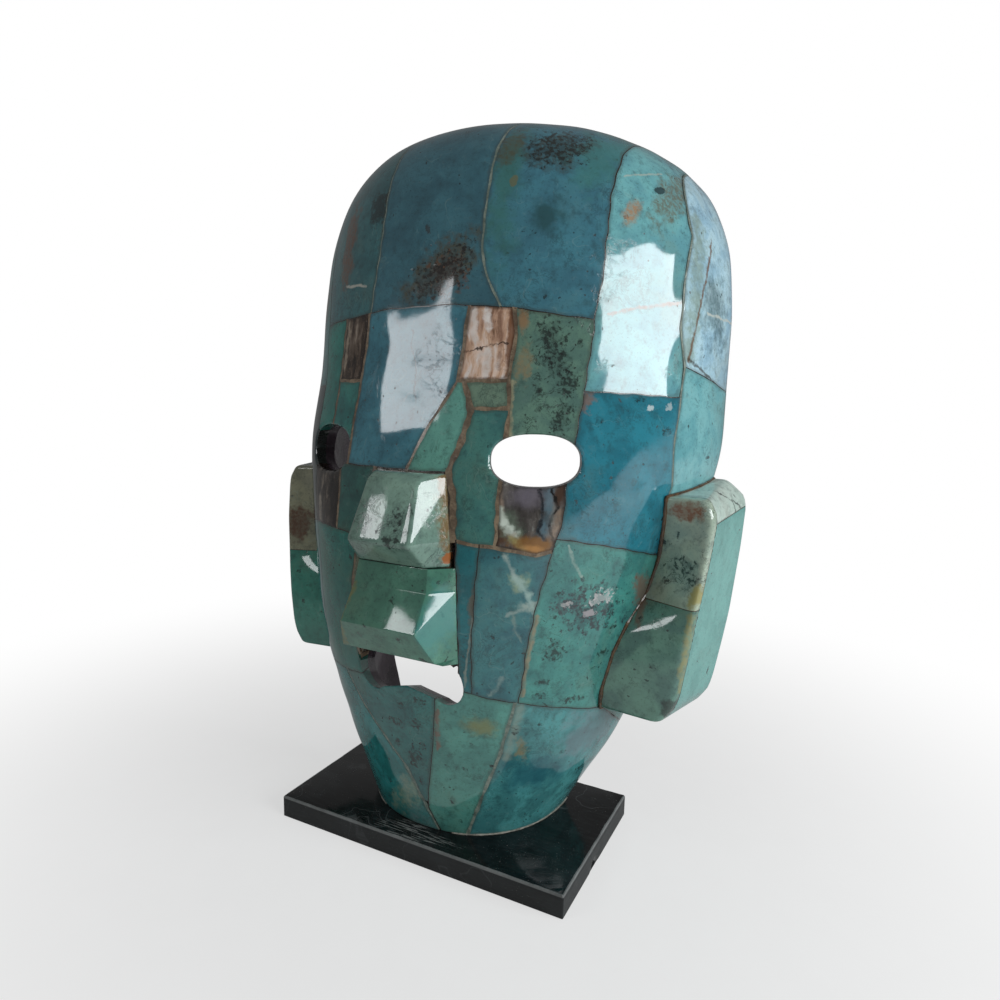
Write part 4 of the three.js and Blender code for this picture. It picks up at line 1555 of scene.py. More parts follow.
    def backing(self, finish: Finish) -> None:
        """Make the cast resin shell that carries the stones, open behind.

        Args:
            finish: Its finish.
        """
        form = self.form
        low = np.linspace(form.chin, form.brow, 84)
        high = form.brow + (form.crown - form.brow) * np.sin(np.linspace(0, QUARTER, 46)[1:])
        p = form.sheet(np.r_[low, high], 131)
        n = form.outward(p)
        inner = self.hollow + self.rough_back * (ripple(p, (11.0, 24.0, 40.0), 21) - 1)
        layers = (p - n * self.bed, p - n * inner[..., None])
        points = np.concatenate([layer.reshape(-1, 3) for layer in layers])
        made = Workshop.body("resin_backing", points, Workshop.grid_faces(*p.shape[:2]))
        self.pierce(made)
        self.trim(made)
        Workshop.declare(made, finish, ["backing_shell"])

    def _merged(self, name: str, slack: float) -> list[tuple[float, float]]:
        """Stretches of a joint that stones use, joined where they meet.

        Args:
            name: Name of the joint.
            slack: Gap that still counts as meeting.

        Returns:
            Start and stop of each stretch.
        """
        joined: list[list[float]] = []
        for start, stop in sorted(self.spans.get(name, [])):
            if joined and start <= joined[-1][1] + slack:
                joined[-1][1] = max(joined[-1][1], stop)
            else:
                joined.append([start, stop])
        return [(start, stop) for start, stop in joined]

    def lines(self) -> list[tuple[str, Grout, Array, Array, Array]]:
        """Middle lines of every joint.

        Returns:
            For each line its name, its filling, turns, heights and half widths.
        """
        form, found = self.form, []
        for name, seam in self.seams.items():
            if seam.side:
                continue
            for start, stop in self._merged(name, 3.0):
                z = np.linspace(max(start - 0.6, form.chin), stop + 0.6, max(4, round((stop - start) / 1.3)))
                z = np.minimum(z, form.crown - 0.1)
                found.append((name, seam.grout, seam.turn(form, z), z, seam.half_gap(z)))
        for name, level in self.levels.items():
            if not level.gap:
                continue
            for start, stop in self._merged(name, 0.05):
                start, stop = max(start, -QUARTER), min(stop, QUARTER)
                turn = np.linspace(start, stop, max(4, round((stop - start) * 62)))
                z = level.height_at(form, turn)
                found.append((name, level.grout, turn, z, level.half_gap(turn)))
        return found


class PathTree:
    """Geometry Nodes trees that lay material along a path."""

    def __init__(self, name: str, inputs: dict[str, tuple[str, object]]) -> None:
        """Start a tree with named inputs.

        Args:
            name: Name of the tree.
            inputs: Socket type and value of each input by its name.
        """
        self.tree = bpy.data.node_groups.new(name, "GeometryNodeTree")
        self.tree.interface.new_socket("Path", in_out="INPUT", socket_type="NodeSocketGeometry")
        for label, (kind, _) in inputs.items():
            self.tree.interface.new_socket(label, in_out="INPUT", socket_type=kind)
        self.tree.interface.new_socket("Shape", in_out="OUTPUT", socket_type="NodeSocketGeometry")
        self.inputs = inputs
        self.sheet = NodeSheet(self.tree)
        self.group = self.tree.nodes.new("NodeGroupInput")

    def given(self, name: str) -> Wire:
        """Wire of a named input."""
        return Wire(self.sheet, self.group.outputs[name])

    def close(self, shape: Wire) -> None:
        """End the tree in real geometry with its material."""
        real = self.sheet.add("GeometryNodeRealizeInstances", {}, {0: shape})
        dressed = self.sheet.add("GeometryNodeSetMaterial", {}, {0: real, "Material": self.given("Material")})
        self.sheet.add("NodeGroupOutput", {}, {0: dressed})

    def lay(self, name: str, path: Mesh, values: dict[str, object]) -> Thing:
        """Run the tree over a path and keep the result as a plain mesh.

        Args:
            name: Name of the new object.
            path: Mesh of edges along the path.
            values: Values of the inputs by name, in place of the tree's own.

        Returns:
            The new object.
        """
        carrier = Workshop.link(name + "_path", path)
        step = carrier.modifiers.new("lay", "NODES")
        step.node_group = self.tree
        for item in self.tree.interface.items_tree:
            if item.in_out == "INPUT" and item.name in self.inputs:
                step[item.identifier] = values.get(item.name, self.inputs[item.name][1])
        mesh = Workshop.result(carrier)
        carrier.modifiers.remove(step)
        Workshop.discard(carrier)
        Workshop.settle(mesh)
        return Workshop.link(name, mesh)

    @staticmethod
    def path(points: Array, fields: dict[str, Array]) -> Mesh:
        """Mesh of edges through places, with values on its points.

        Args:
            points: Places in millimetres.
            fields: A number or a vector for each place, by name.

        Returns:
            The mesh.
        """
        mesh = bpy.data.meshes.new("path")
        edges = [(i, i + 1) for i in range(len(points) - 1)]
        mesh.from_pydata((points * MM).tolist(), edges, [])
        for name, values in fields.items():
            values = np.asarray(values, np.float32)
            kind = "FLOAT_VECTOR" if values.ndim == 2 else "FLOAT"
            layer = mesh.attributes.new(name, kind, "POINT")
            layer.data.foreach_set("vector" if values.ndim == 2 else "value", values.ravel())
        return mesh


def grout_tree() -> PathTree:
    """Tree that fills a joint: a strip across the joint, deepened along the wall's direction.

    Returns:
        The tree.
    """
    made = PathTree("joint_filling", {
        "Depth": ("NodeSocketFloat", 4.9 * MM), "Material": ("NodeSocketMaterial", None)})
    sheet = made.sheet

    def stored(name: str, kind: str = "FLOAT_VECTOR") -> Wire:
        """Value stored on the path's points."""
        return sheet.add("GeometryNodeInputNamedAttribute", {"data_type": kind}, {"Name": name})

    aside = sheet.vector("SCALE", stored("across"), scale=stored("half", "FLOAT") * MM)
    moved = sheet.add("GeometryNodeSetPosition", {}, {
        0: made.given("Path"), "Offset": sheet.vector("SCALE", aside, scale=-1.0)})
    strip = sheet.add("GeometryNodeExtrudeMesh", {"mode": "EDGES"}, {
        0: moved, "Offset": sheet.vector("SCALE", aside, scale=2.0), "Offset Scale": 1.0})
    inward = sheet.vector("SCALE", stored("inward"), scale=made.given("Depth"))
    deep = sheet.add("GeometryNodeExtrudeMesh", {"mode": "FACES"}, {
        0: strip, "Offset": inward, "Offset Scale": 1.0, "Individual": False})
    turned = sheet.add("GeometryNodeFlipFaces", {}, {0: strip})
    both = sheet.tree.nodes.new("GeometryNodeJoinGeometry")
    for part in (turned, deep):
        sheet.tree.links.new(part.socket, both.inputs[0])
    merged = sheet.add("GeometryNodeMergeByDistance", {}, {0: Wire(sheet, both.outputs[0]), "Distance": 1e-6})
    made.close(merged)
    return made


@dataclass(frozen=True)
class Bead:
    """Run of resin along a path, in millimetres."""

    name: str
    radius: float
    uneven: float
    seed: float
    grain: float = 5.0

    def run(self, tree: PathTree, path: Array, finish: Finish) -> None:
        """Lay the bead along its path.

        Args:
            tree: The tree that makes beads.
            path: Places in millimetres.
            finish: Its finish.
        """
        values = {"Radius": self.radius * MM, "Uneven": self.uneven, "Grain": self.grain * MM,
                  "Seed": self.seed, "Material": finish.material()}
        Workshop.declare(tree.lay(self.name, PathTree.path(path, {}), values), finish)


def bead_tree() -> PathTree:
    """Tree that runs an uneven bead of resin along a path.

    Returns:
        The tree.
    """
    made = PathTree("resin_bead", {
        "Radius": ("NodeSocketFloat", 1.0 * MM), "Uneven": ("NodeSocketFloat", 0.5),
        "Grain": ("NodeSocketFloat", 4.0 * MM), "Seed": ("NodeSocketFloat", 1.0),
        "Material": ("NodeSocketMaterial", None)})
    sheet = made.sheet
    curve = sheet.add("GeometryNodeMeshToCurve", {}, {0: made.given("Path")})
    spaced = sheet.add("GeometryNodeResampleCurve", {"mode": "LENGTH"}, {0: curve, "Length": 0.7 * MM})
    place = sheet.add("GeometryNodeInputPosition")
    lumps = sheet.add("ShaderNodeTexNoise", {"noise_dimensions": "4D"}, {
        "Vector": place, "W": made.given("Seed"), "Scale": 1 / made.given("Grain"), "Detail": 2.0})
    radius = made.given("Radius") * (1 + (lumps - 0.5) * 2 * made.given("Uneven"))
    ring = sheet.add("GeometryNodeCurvePrimitiveCircle", {}, {"Resolution": 10, "Radius": 1.0})
    solid = sheet.add("GeometryNodeCurveToMesh", {}, {
        0: spaced, "Profile Curve": ring, "Scale": radius, "Fill Caps": True})
    made.close(solid)
    return made


@dataclass
class Nose:
    """Nose of two ground blocks, with softened arrises."""

    finishes: dict[str, Finish]
    softening: float = 1.7
    least_arris: float = 9.0
    step: float = 1.7
    from_edge: float = 6.0

    def build(self) -> None:
        """Make both blocks from copies of their solids."""
        for node, finish in self.finishes.items():
            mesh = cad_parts[node].data.copy()
            made = Workshop.link("stone_" + node, mesh)
            self._soften(mesh)
            Workshop.declare(made, finish, [node], 30.0)

    def _soften(self, mesh: Mesh) -> None:
        """Merge a mesh, join its flat faces, round its arrises and divide it evenly.

        Args:
            mesh: The mesh, which is changed.
        """
        with Workshop.edited(mesh) as bm:
            bmesh.ops.remove_doubles(bm, verts=bm.verts, dist=MERGE)
            bmesh.ops.dissolve_limit(bm, angle_limit=math.radians(1.5), verts=bm.verts, edges=bm.edges)
            bmesh.ops.bevel(bm, geom=Workshop.arrises(bm, self.least_arris), offset=self.softening * MM,
                            segments=3, profile=0.5, affect="EDGES", clamp_overlap=True)
            bmesh.ops.triangulate(bm, faces=bm.faces)
            Workshop.refine(bm, self.step)
            bmesh.ops.recalc_face_normals(bm, faces=bm.faces)
        Workshop.mark_edge(mesh, np.full(len(mesh.vertices), self.from_edge))


@dataclass
class Ear:
    """Block ear of one side: two facing stones, a side block and a cap, with joints between them."""

    side: int
    label: str
    finishes: dict[str, Finish]
    joint: Finish
    form: FaceForm
    beads: PathTree
    sections: tuple[tuple[float, ...], ...] = (
        (67, 90, -1, 66.4, 2.8, 98), (70, 94, -1, 66.6, 1.5, 103), (77, 97, -0.5, 67.5, 0.3, 105),
        (92, 99.3, 0.2, 71, 1.3, 107.3), (104, 101, 1.5, 75, 6, 108.9), (115, 102.5, 3, 80, 14.2, 109.7),
        (130, 104.5, 5, 84, 16.3, 110.8), (147, 106, 8.2, 86, 13.5, 111.4),
        (152.5, 105.2, 8.8, 86.4, 12.2, 108.5), (155.5, 102, 10, 86.7, 11.7, 100))
    foot_back: float = 65.0
    top_back: float = 159.0
    inset: float = 3.0
    root: float = 16.0
    ridge_drop: float = 0.4
    ridge_round: float = 3.4
    back_round: float = 2.2
    end_round: float = 1.5
    face: float = 4.6
    gap: float = 0.3
    front_joint: float = 113.4
    cap_joint: float = 146.0
    beyond: float = 8.0
    from_edge: float = 6.0
    head_low: float = 50.0
    head_high: float = 175.0

    def corners(self, z: Array) -> Array:
        """Root, ridge, outer back and inner back of the block's outline at heights of its front.

        Args:
            z: Heights in millimetres.

        Returns:
            Four places for each height.
        """
        table = np.array(self.sections)
        near = np.linspace(-3, 3, 5)[:, None]
        ridge_x, ridge_y, seat_x, seat_y, wide = (
            np.interp(z + near, table[:, 0], table[:, i]).mean(0) for i in range(1, 6))
        foot, top = table[0, 0], table[-1, 0]
        slope = (ridge_y - seat_y) / (ridge_x - seat_x)
        root = seat_x - self.root
        back_z = self.foot_back + (self.top_back - self.foot_back) * (z - foot) / (top - foot)
        back_y = self.form.rim(back_z) - self.inset
        x = np.stack([root, ridge_x, wide, root], -1) * self.side
        y = np.stack([seat_y - self.root * slope, ridge_y + self.ridge_drop, back_y, back_y], -1)
        return np.stack([x, y, np.stack([z, z, back_z, back_z], -1)], -1)

    def rings(self, z: Array) -> Array:
        """Outlines of the block, drawn in towards its foot and its top.

        Args:
            z: Heights of the outlines' front.

        Returns:
            Places in millimetres, one row for each outline.
        """
        root, ridge, outer, inner = np.moveaxis(self.corners(z), 1, 0)[:, :, None]

        def bend(before: Array, corner: Array, after: Array, size: float) -> Array:
            """Rounded corner.

            Args:
                before: Place before the corner.
                corner: The corner.
                after: Place after it.
                size: How much of each side is rounded away.

            Returns:
                Places along the curve.
            """
            t = np.linspace(0, 1, 9)[:, None]
            start, stop = (corner + (p - corner) * size / np.linalg.norm(p - corner, axis=-1, keepdims=True)
                           for p in (before, after))
            return (1 - t) ** 2 * start + 2 * t * (1 - t) * corner + t * t * stop

        def run(start: Array, stop: Array, count: int) -> Array:
            """Straight stretch without its last place."""
            return start + (stop - start) * np.linspace(0, 1, count, endpoint=False)[:, None]

        first = bend(root, ridge, outer, self.ridge_round)
        second = bend(ridge, outer, inner, self.back_round)
        ring = np.concatenate([run(root, first[:, :1], 9), first[:, :-1],
                               run(first[:, -1:], second[:, :1], 16), second[:, :-1],
                               run(second[:, -1:], inner, 8), inner], axis=1)
        low = np.clip(np.minimum(z - z[0], z[-1] - z) / self.end_round, 0, 1)
        drawn = (self.end_round * (1 - np.sqrt(1 - (1 - low) ** 2)))[:, None, None]
        middle = (root + outer) / 2
        wide, deep = np.abs(outer - root)[..., :1], np.abs(outer - ridge)[..., 1:2]
        ring[..., :1] = root[..., :1] + (ring[..., :1] - root[..., :1]) * (1 - drawn / wide)
        ring[..., 1:2] = middle[..., 1:2] + (ring[..., 1:2] - middle[..., 1:2]) * (1 - 2 * drawn / deep)
        return ring

    def block(self) -> Thing:
        """Whole block of the ear before it is parted, outside the mask's own form.

        Returns:
            The block's object.
        """
        foot, top = self.sections[0][0], self.sections[-1][0]
        curve = self.end_round * (1 - np.cos(np.linspace(0, QUARTER, 6)))
        middle = np.linspace(foot + self.end_round, top - self.end_round, 44)[1:-1]
        rings = self.rings(np.r_[foot + curve, middle, (top - curve)[::-1]])
        rows, columns = rings.shape[:2]
        points = np.concatenate([rings.reshape(-1, 3), rings[0].mean(0)[None], rings[-1].mean(0)[None]])
        faces = []
        for c in range(columns):
            d = (c + 1) % columns
            faces += [(r * columns + c, r * columns + d, (r + 1) * columns + d, (r + 1) * columns + c)
                      for r in range(rows - 1)]
            last = (rows - 1) * columns
            faces += [(d, c, rows * columns), (last + c, last + d, rows * columns + 1)]
        made = Workshop.body("ear_block_" + self.label, points, faces, np.full(len(points), self.from_edge))
        head = self._head()
        Workshop.cut(made, head)
        Workshop.discard(head)
        return made

    def zone(self, low: float, high: float, near: float, far: float) -> Thing:
        """Body that reaches beyond the block between two heights and two depths.

        Args:
            low: Height of its foot, measured on the block's front.
            high: Height of its top.
            near: Depth of its front behind the block's front.
            far: Depth of its back.

        Returns:
            The body.
        """
        root, ridge, outer, inner = np.moveaxis(self.corners(np.linspace(low, high, 30)), 1, 0)
        columns = ((root + (root - ridge) * 0.3, inner + (inner - outer) * 0.3),
                   (ridge + (ridge - root) * 0.6, outer + (outer - inner) * 0.6))
        layers = []
        for depth in (near, far):
            places = [front + (back - front) * depth / (back - front)[:, 1:2] for front, back in columns]
            layers.append(np.stack(places, 1).reshape(-1, 3))
        return Workshop.body("zone", np.concatenate(layers), Workshop.grid_faces(30, 2))

    def zones(self) -> dict[str, Thing]:
        """Body of each stone's share of the block.

        Returns:
            The bodies by part.
        """
        foot, top = self.sections[0][0] - self.beyond, self.sections[-1][0] + self.beyond
        half, behind = self.gap / 2, self.face + self.gap
        return {
            "face_lower": self.zone(foot, self.front_joint - half, -self.beyond, self.face),
            "face_upper": self.zone(self.front_joint + half, top, -self.beyond, self.face),
            "side": self.zone(foot, self.cap_joint - half, behind, 90.0),
            "cap": self.zone(self.cap_joint + half, top, behind, 90.0),
        }

    def build(self) -> None:
        """Make the ear's four stones and the resin in their joints."""
        block = self.block()
        core = Workshop.link("ear_joints_" + self.label, block.data.copy())
        self._shrink(core.data, 0.1)
        for part, zone in self.zones().items():
            node = f"ear_{part}_{self.label}"
            finish = self.finishes[node]
            made = Workshop.link("stone_" + node, block.data.copy())
            Workshop.cut(made, zone, "INTERSECT")
            Workshop.cut(core, zone)
            Workshop.discard(zone)
            Workshop.declare(made, finish, [node], 30.0)
        Workshop.discard(block)
        Workshop.declare(core, self.joint)
        self._fillet()

    def _head(self) -> Thing:
        """Solid body of the mask's own form between the ear's foot and its top.

        Returns:
            The body's object.
        """
        p = self.form.sheet(np.linspace(self.head_low, self.head_high, 60), 91)
        back = p.copy()
        back[..., 1] = self.form.rim(p[..., 2]) + 20
        points = np.concatenate([p.reshape(-1, 3), back.reshape(-1, 3)])
        return Workshop.body("head", points, Workshop.grid_faces(*p.shape[:2]))

    @staticmethod
    def _shrink(mesh: Mesh, depth: float) -> None:
        """Move a mesh's places inwards by a depth in millimetres.

        Args:
            mesh: The mesh, which is changed.
            depth: The depth.
        """
        with Workshop.edited(mesh) as bm:
            bm.normal_update()
            for corner in bm.verts:
                corner.co -= corner.normal * depth * MM

    def _fillet(self) -> None:
        """Bead of resin where the ear meets the mask: up its front, over its top and under its foot."""
        front = [(section[3], section[4], section[0]) for section in self.sections]
        foot = self._border(self.sections[0], self.foot_back)
        p = np.array([*reversed(foot), *front, *self._border(self.sections[-1], self.top_back)])
        p[:, 0] *= self.side
        on = p + self.form.outward(p) * 0.15
        Bead("ear_fillet_" + self.label, 0.85, 0.6, 3.0 + self.side).run(self.beads, on, self.joint)

    def _border(self, end: Sequence[float], back: float) -> list[tuple[float, float, float]]:
        """Places where the block's foot or its top meets the mask, from the front to the back.

        Args:
            end: First or last row of the sections.
            back: Height at which the end meets the rim.

        Returns:
            The places in millimetres, on the positive side.
        """
        form, places = self.form, []
        for y in np.linspace(end[4] + 2, float(form.rim(np.float64(back))) - 4, 12):
            z = end[0] + (back - end[0]) * (y - end[4]) / (form.rim_depth - end[4])
            places.append((float(form.reach(np.float64(y), np.float64(z))), y, z))
        return places


@dataclass
class Plinth:
    """Polished slab with worn arrises and a chip."""

    finish: MarbleFinish
    width: float = 138.0
    depth: float = 77.0
    height: float = 10.0
    arris: float = 0.8
    side_arris: float = 0.35
    step: float = 3.0
    worn_border: float = 2.5
    chip_reach: float = 5.0
    chip_depth: float = 1.3
    dent_depth: float = 0.1

    def build(self) -> None:
        """Make the slab."""
        mesh = bpy.data.meshes.new("marble_plinth")
        with Workshop.edited(mesh) as bm:
            bmesh.ops.create_cube(bm, size=1.0)
            for corner in bm.verts:
                corner.co = Vector((corner.co.x * self.width, corner.co.y * self.depth,
                                    (corner.co.z + 0.5) * self.height)) * MM
            top = [e for e in bm.edges if min(v.co.z for v in e.verts) > self.height * MM * 0.9]
            bmesh.ops.bevel(bm, geom=top, offset=self.arris * MM, segments=2, profile=0.6, affect="EDGES")
            rest = Workshop.arrises(bm, 60)
            bmesh.ops.bevel(bm, geom=rest, offset=self.side_arris * MM, segments=1, affect="EDGES")
            Workshop.refine(bm, self.step, self._near)
            self._wear(bm)
            bmesh.ops.recalc_face_normals(bm, faces=bm.faces)
        made = Workshop.link("marble_plinth", mesh)
        Workshop.declare(made, self.finish, ["plinth"], 25.0)

    def _near(self, edge: bmesh.types.BMEdge) -> bool:
        """Whether an edge lies near the slab's upper border, where it is worn."""
        return self._past_border((edge.verts[0].co + edge.verts[1].co) / (2 * MM)) > -self.worn_border

    def _past_border(self, p: Sequence[float]) -> float:
        """How far a place lies outside the slab's outline, negative inside it."""
        return max(abs(p[0]) - self.width / 2, abs(p[1]) - self.depth / 2)

    def _wear(self, bm: bmesh.types.BMesh) -> None:
        """Push the worn arrises in and sink the chip.

        Args:
            bm: The slab's mesh in metres.
        """
        places = np.array([corner.co for corner in bm.verts]) / MM
        dent = ripple(places, (4.0, 9.0, 23.0), 31)
        chip = np.array([self.width / 2, -3.0, 0.0])
        for corner, p, d in zip(bm.verts, places, dent):
            if p[2] > self.height - 0.3 and self._past_border(p) > -1.4:
                corner.co.z -= max(d, 0) * self.dent_depth * MM
            near = math.dist(p * (1, 1, 1.2), chip) / self.chip_reach
            if near < 1 and p[2] > 0.01:
                corner.co.x -= self.chip_depth * (1 - near * near) * (0.8 + 0.4 * d) * MM


@dataclass
class Glue:
    """Beads of clear glue between the chin and the slab, thin in front and thick inside."""

    form: FaceForm
    beads: PathTree
    finish: Finish
    slab: float = 10.0

    def build(self) -> None:
        """Run the outer beads and the inner one."""
        runs = (("front", 0.15, 0.38, 0.25, QUARTER), ("left", 0.2, 0.3, -QUARTER, -0.5),
                ("inner", 9.4, 1.1, -QUARTER, QUARTER))
        for label, depth, radius, start, stop in runs:
            turn = np.linspace(start, stop, 60)
            outline = self.form.point(turn, np.full(60, self.form.chin))
            path = outline - self.form.outward(outline) * depth
            path[:, 2] = self.slab + 0.2
            Bead("glue_" + label, radius, 0.9, radius).run(self.beads, path, self.finish)


@dataclass(frozen=True)
class Lamp:
    """Soft panel of light aimed at the mask."""

    name: str
    place: tuple[float, float, float]
    size: tuple[float, float]
    power: float
    tint: tuple[float, float, float]
    aim: tuple[float, float, float]
    roll: float = 0.0

    def hang(self) -> None:
        """Put the panel in the scene."""
        light = bpy.data.lights.new(self.name, "AREA")
        light.shape = "RECTANGLE"
        light.size, light.size_y = self.size
        light.energy = self.power
        light.color = self.tint
        made = bpy.data.objects.new(self.name, light)
        bpy.context.scene.collection.objects.link(made)
        away = Vector(self.place) - Vector(self.aim)
        turn = away.to_track_quat("Z", "Y").to_matrix() @ Matrix.Rotation(math.radians(self.roll), 3, "Z")
        made.matrix_world = Matrix.Translation(self.place) @ turn.to_4x4()


@dataclass
class Studio:
    """Pale floor, soft light and the camera."""

    lamps: tuple[Lamp, ...]
    azimuth: float = 26.76
    elevation: float = 8.8
    roll: float = 1.18
    place: tuple[float, float, float] = (153.53, -265.38, 195.91)
    focal: float = 0.7155
    sensor: float = 36.0
    backdrop: float = 1.0
    fill: float = 0.17
    floor_radius: float = 6.0

    def build(self) -> None:
        """Set up the floor, the lamps, the surroundings and the camera."""
        self._floor()
        self._surroundings()
        for lamp in self.lamps:
            lamp.hang()
        self._camera()
        bpy.context.scene.view_settings.view_transform = "Standard"

    def _camera(self) -> None:
        """Place the camera by its angles."""
        az, el, roll = (math.radians(a) for a in (self.azimuth, self.elevation, self.roll))
        ahead = -Vector((math.sin(az) * math.cos(el), -math.cos(az) * math.cos(el), math.sin(el)))
        right = ahead.cross(Vector((0, 0, 1))).normalized()
        up = right.cross(ahead)
        across = right * math.cos(roll) + up * math.sin(roll)
        above = up * math.cos(roll) - right * math.sin(roll)
        data = bpy.data.cameras.new("camera")
        data.sensor_width = self.sensor
        data.lens = self.focal * self.sensor
        data.clip_start = 0.01
        made = bpy.data.objects.new("camera", data)
        bpy.context.scene.collection.objects.link(made)
        turn = Matrix((across, above, -ahead)).transposed()
        made.matrix_world = Matrix.Translation(Vector(self.place) * MM) @ turn.to_4x4()
        bpy.context.scene.camera = made

    def _floor(self) -> None:
        """Lay a pale disc that fades into the surroundings."""
        mesh = bpy.data.meshes.new("floor")
        with Workshop.edited(mesh) as bm:
            bmesh.ops.create_circle(bm, cap_ends=True, segments=96, radius=self.floor_radius)
        floor = Workshop.link("floor", mesh)
        finish = bpy.data.materials.new("pale_floor")
        finish.use_nodes = True
        sheet = NodeSheet(finish.node_tree)
        place = sheet.add("ShaderNodeTexCoord", output="Object")
        reach = sheet.add("ShaderNodeVectorMath", {"operation": "LENGTH"}, {0: place}, "Value")
        grain = sheet.add("ShaderNodeTexNoise", {}, {"Vector": place, "Scale": 60.0, "Detail": 3.0})
        tone = sheet.blend("f4f4f3", "ebebea", grain)
        card = sheet.add("ShaderNodeBsdfPrincipled", {}, {"Base Color": tone, "Roughness": 0.7})
        glow = sheet.add("ShaderNodeEmission", {}, {"Color": (1, 1, 1, 1), "Strength": self.backdrop})
        seen = sheet.add("ShaderNodeLightPath", {}, {}, "Is Camera Ray")
        share = (reach.band(0.08, 0.42) * 0.42 + 0.58) * seen
        mixed = sheet.add("ShaderNodeMixShader", {}, {0: share, 1: card, 2: glow})
        sheet.add("ShaderNodeOutputMaterial", {}, {"Surface": mixed})
        mesh.materials.append(finish)

    def _surroundings(self) -> None:
        """Pale backdrop with a dimmer light of its own."""
        world = bpy.data.worlds.new("studio")
        world.use_nodes = True
        bpy.context.scene.world = world
        sheet = NodeSheet(world.node_tree)
        seen = sheet.add("ShaderNodeLightPath", {}, {}, "Is Camera Ray")
        strength = seen * (self.backdrop - self.fill) + self.fill
        sky = sheet.add("ShaderNodeBackground", {}, {"Color": (1, 1, 1, 1), "Strength": strength})
        sheet.add("ShaderNodeOutputWorld", {}, {"Surface": sky})


CREASE = ((69.7, 62), (76.7, 90), (84.9, 130), (86.6, 152), (88.4, 159), (88.6, 181),
          (88.8, 193), (89, 206), (87, 222), (87, 257), (80.5, 279), (76, 291))
CHEEK = ((44.5, 76), (46, 84), (50.5, 113.5), (55.5, 137.3), (57, 142), (58.2, 149),
         (58.8, 161), (60, 170), (60.8, 195), (62, 222), (63.6, 241), (62.3, 290))
VEIN = 1.4
WIDE_VEIN = 2.6


def mirrored(places: Sequence[Place]) -> tuple[Place, ...]:
    """Places on the other side of the face."""
    return tuple((-x, z) for x, z in places)


def mask_seams() -> dict[str, Seam]:
    """Upright joints of the mosaic by name.

    Returns:
        The joints.
    """
    amber, pale = Grout.AMBER, Grout.PALE
    seams = (
        Seam("left_rim", side=-1), Seam("right_rim", side=1),
        Seam("left_crease", mirrored(CREASE), 0.9, pale), Seam("right_crease", CREASE, 0.9, pale),
        Seam("left_brow", mirrored(CHEEK)), Seam("right_brow", CHEEK),
        Seam("left_inlay_outer", ((-47, 168), (-46, 198), (-44, 224)), VEIN, amber),
        Seam("left_inlay_inner", ((-32, 160), (-31, 198), (-28.5, 226)), VEIN, amber),
        Seam("left_eye_inner", ((-35.5, 132), (-36.5, 170)), VEIN, amber),
        Seam("left_crown", ((-28, 226), (-25, 250), (-24.4, 278), (-24, 300)), 0.7, pale),
        Seam("nose_left", ((-19, 76), (-21, 92), (-24.5, 97), (-24, 112), (-21.5, 139.5), (-15.5, 165)),
             VEIN, amber),
        Seam("nose_right", ((24.5, 92), (24, 112), (22, 139.5), (20.3, 157), (17.6, 165.6),
                            (21.1, 176.7), (23.2, 187.5), (18.4, 199)), WIDE_VEIN, amber),
        Seam("strip_left", ((25, 78), (25.5, 94), (25, 112), (23, 139.5))),
        Seam("strip_right", ((29.5, 78), (31.5, 140))),
        Seam("right_eye_inner", ((37, 136), (37, 170)), VEIN, amber),
        Seam("brow_inlay", ((38, 170), (37, 187), (35.4, 199), (36.6, 216), (35.5, 226)), VEIN, amber),
        Seam("bridge", ((-0.9, 164.8), (8.2, 184.7), (16, 198.5), (18.4, 226)), VEIN, amber),
        Seam("crown_middle", ((30.8, 225), (24.4, 237), (21.6, 247), (21.6, 300)), 0.9, pale),
        Seam("pale_vein", ((7.8, 10), (-5.3, 39), (-20, 57), (-33, 80)), VEIN, pale),
        Seam("chin_speckle", ((8.4, 10), (3.6, 21), (4.6, 30), (14, 73), (16, 86))),
        Seam("chin_middle", ((19.5, 10), (27.7, 32), (35.8, 52), (44.5, 80)), VEIN, pale),
    )
    return {seam.name: seam for seam in seams}


def mask_levels(form: FaceForm) -> dict[str, Level]:
    """Level joints of the mosaic by name.

    Args:
        form: The face's form.

    Returns:
        The joints.
    """
    amber = Grout.AMBER
    corner = float(form.rim_height(Seam("right_crease", CREASE, wander=0).x_at, 1)[0])
    levels = (
        Level("chin", ((-RIM, form.chin), (RIM, form.chin)), 0),
        Level("chin_fork", ((-RIM, 24), (RIM, 24))),
        Level("jaw", ((-RIM, 48), (-68, 57), (-67, 66.3), (-44.5, 77), (-21, 80), (0, 84), (16, 84),
                      (26, 82), (35, 79.3), (44.5, 77), (67, 66.3), (68, 57), (RIM, 48))),
        Level("cheek_left", ((-RIM, 128), (-83.8, 131), (-57, 138), (-35.5, 138.5), (-20, 137.5))),
        Level("cheek_inner", ((20, 140.5), (31, 139), (37, 138.6), (50.8, 136), (55.6, 137.3)), VEIN, amber),
        Level("cheek_right", ((57, 142), (72, 138), (83.8, 131), (RIM, 128))),
        Level("bridge_foot", ((-37, 165), (20, 165))),
        Level("eye", ((-RIM, 170.2), (RIM, 170.2))),
        Level("ear_top", ((-RIM, 152), (RIM, 152))),
        Level("brow_olive", ((16, 188.4), (40, 189.2)), VEIN, amber),
        Level("inlay_foot", ((-50, 198), (16, 198.8), (40, 199.2)), VEIN, amber),
        Level("temple", ((-90, 194), (-60, 196), (60, 196), (90, 194))),
        Level("wall", ((-RIM, 196), (-89, 206), (89, 206), (RIM, 196))),
        Level("forehead", ((-62, 222), (-44, 223.5), (-28.5, 225), (-16, 226.5), (13, 227), (31, 226),
                           (62, 221.7))),
        Level("crease_top", ((-RIM, corner), (RIM, corner)), 0),
    )
    return {level.name: level for level in levels}


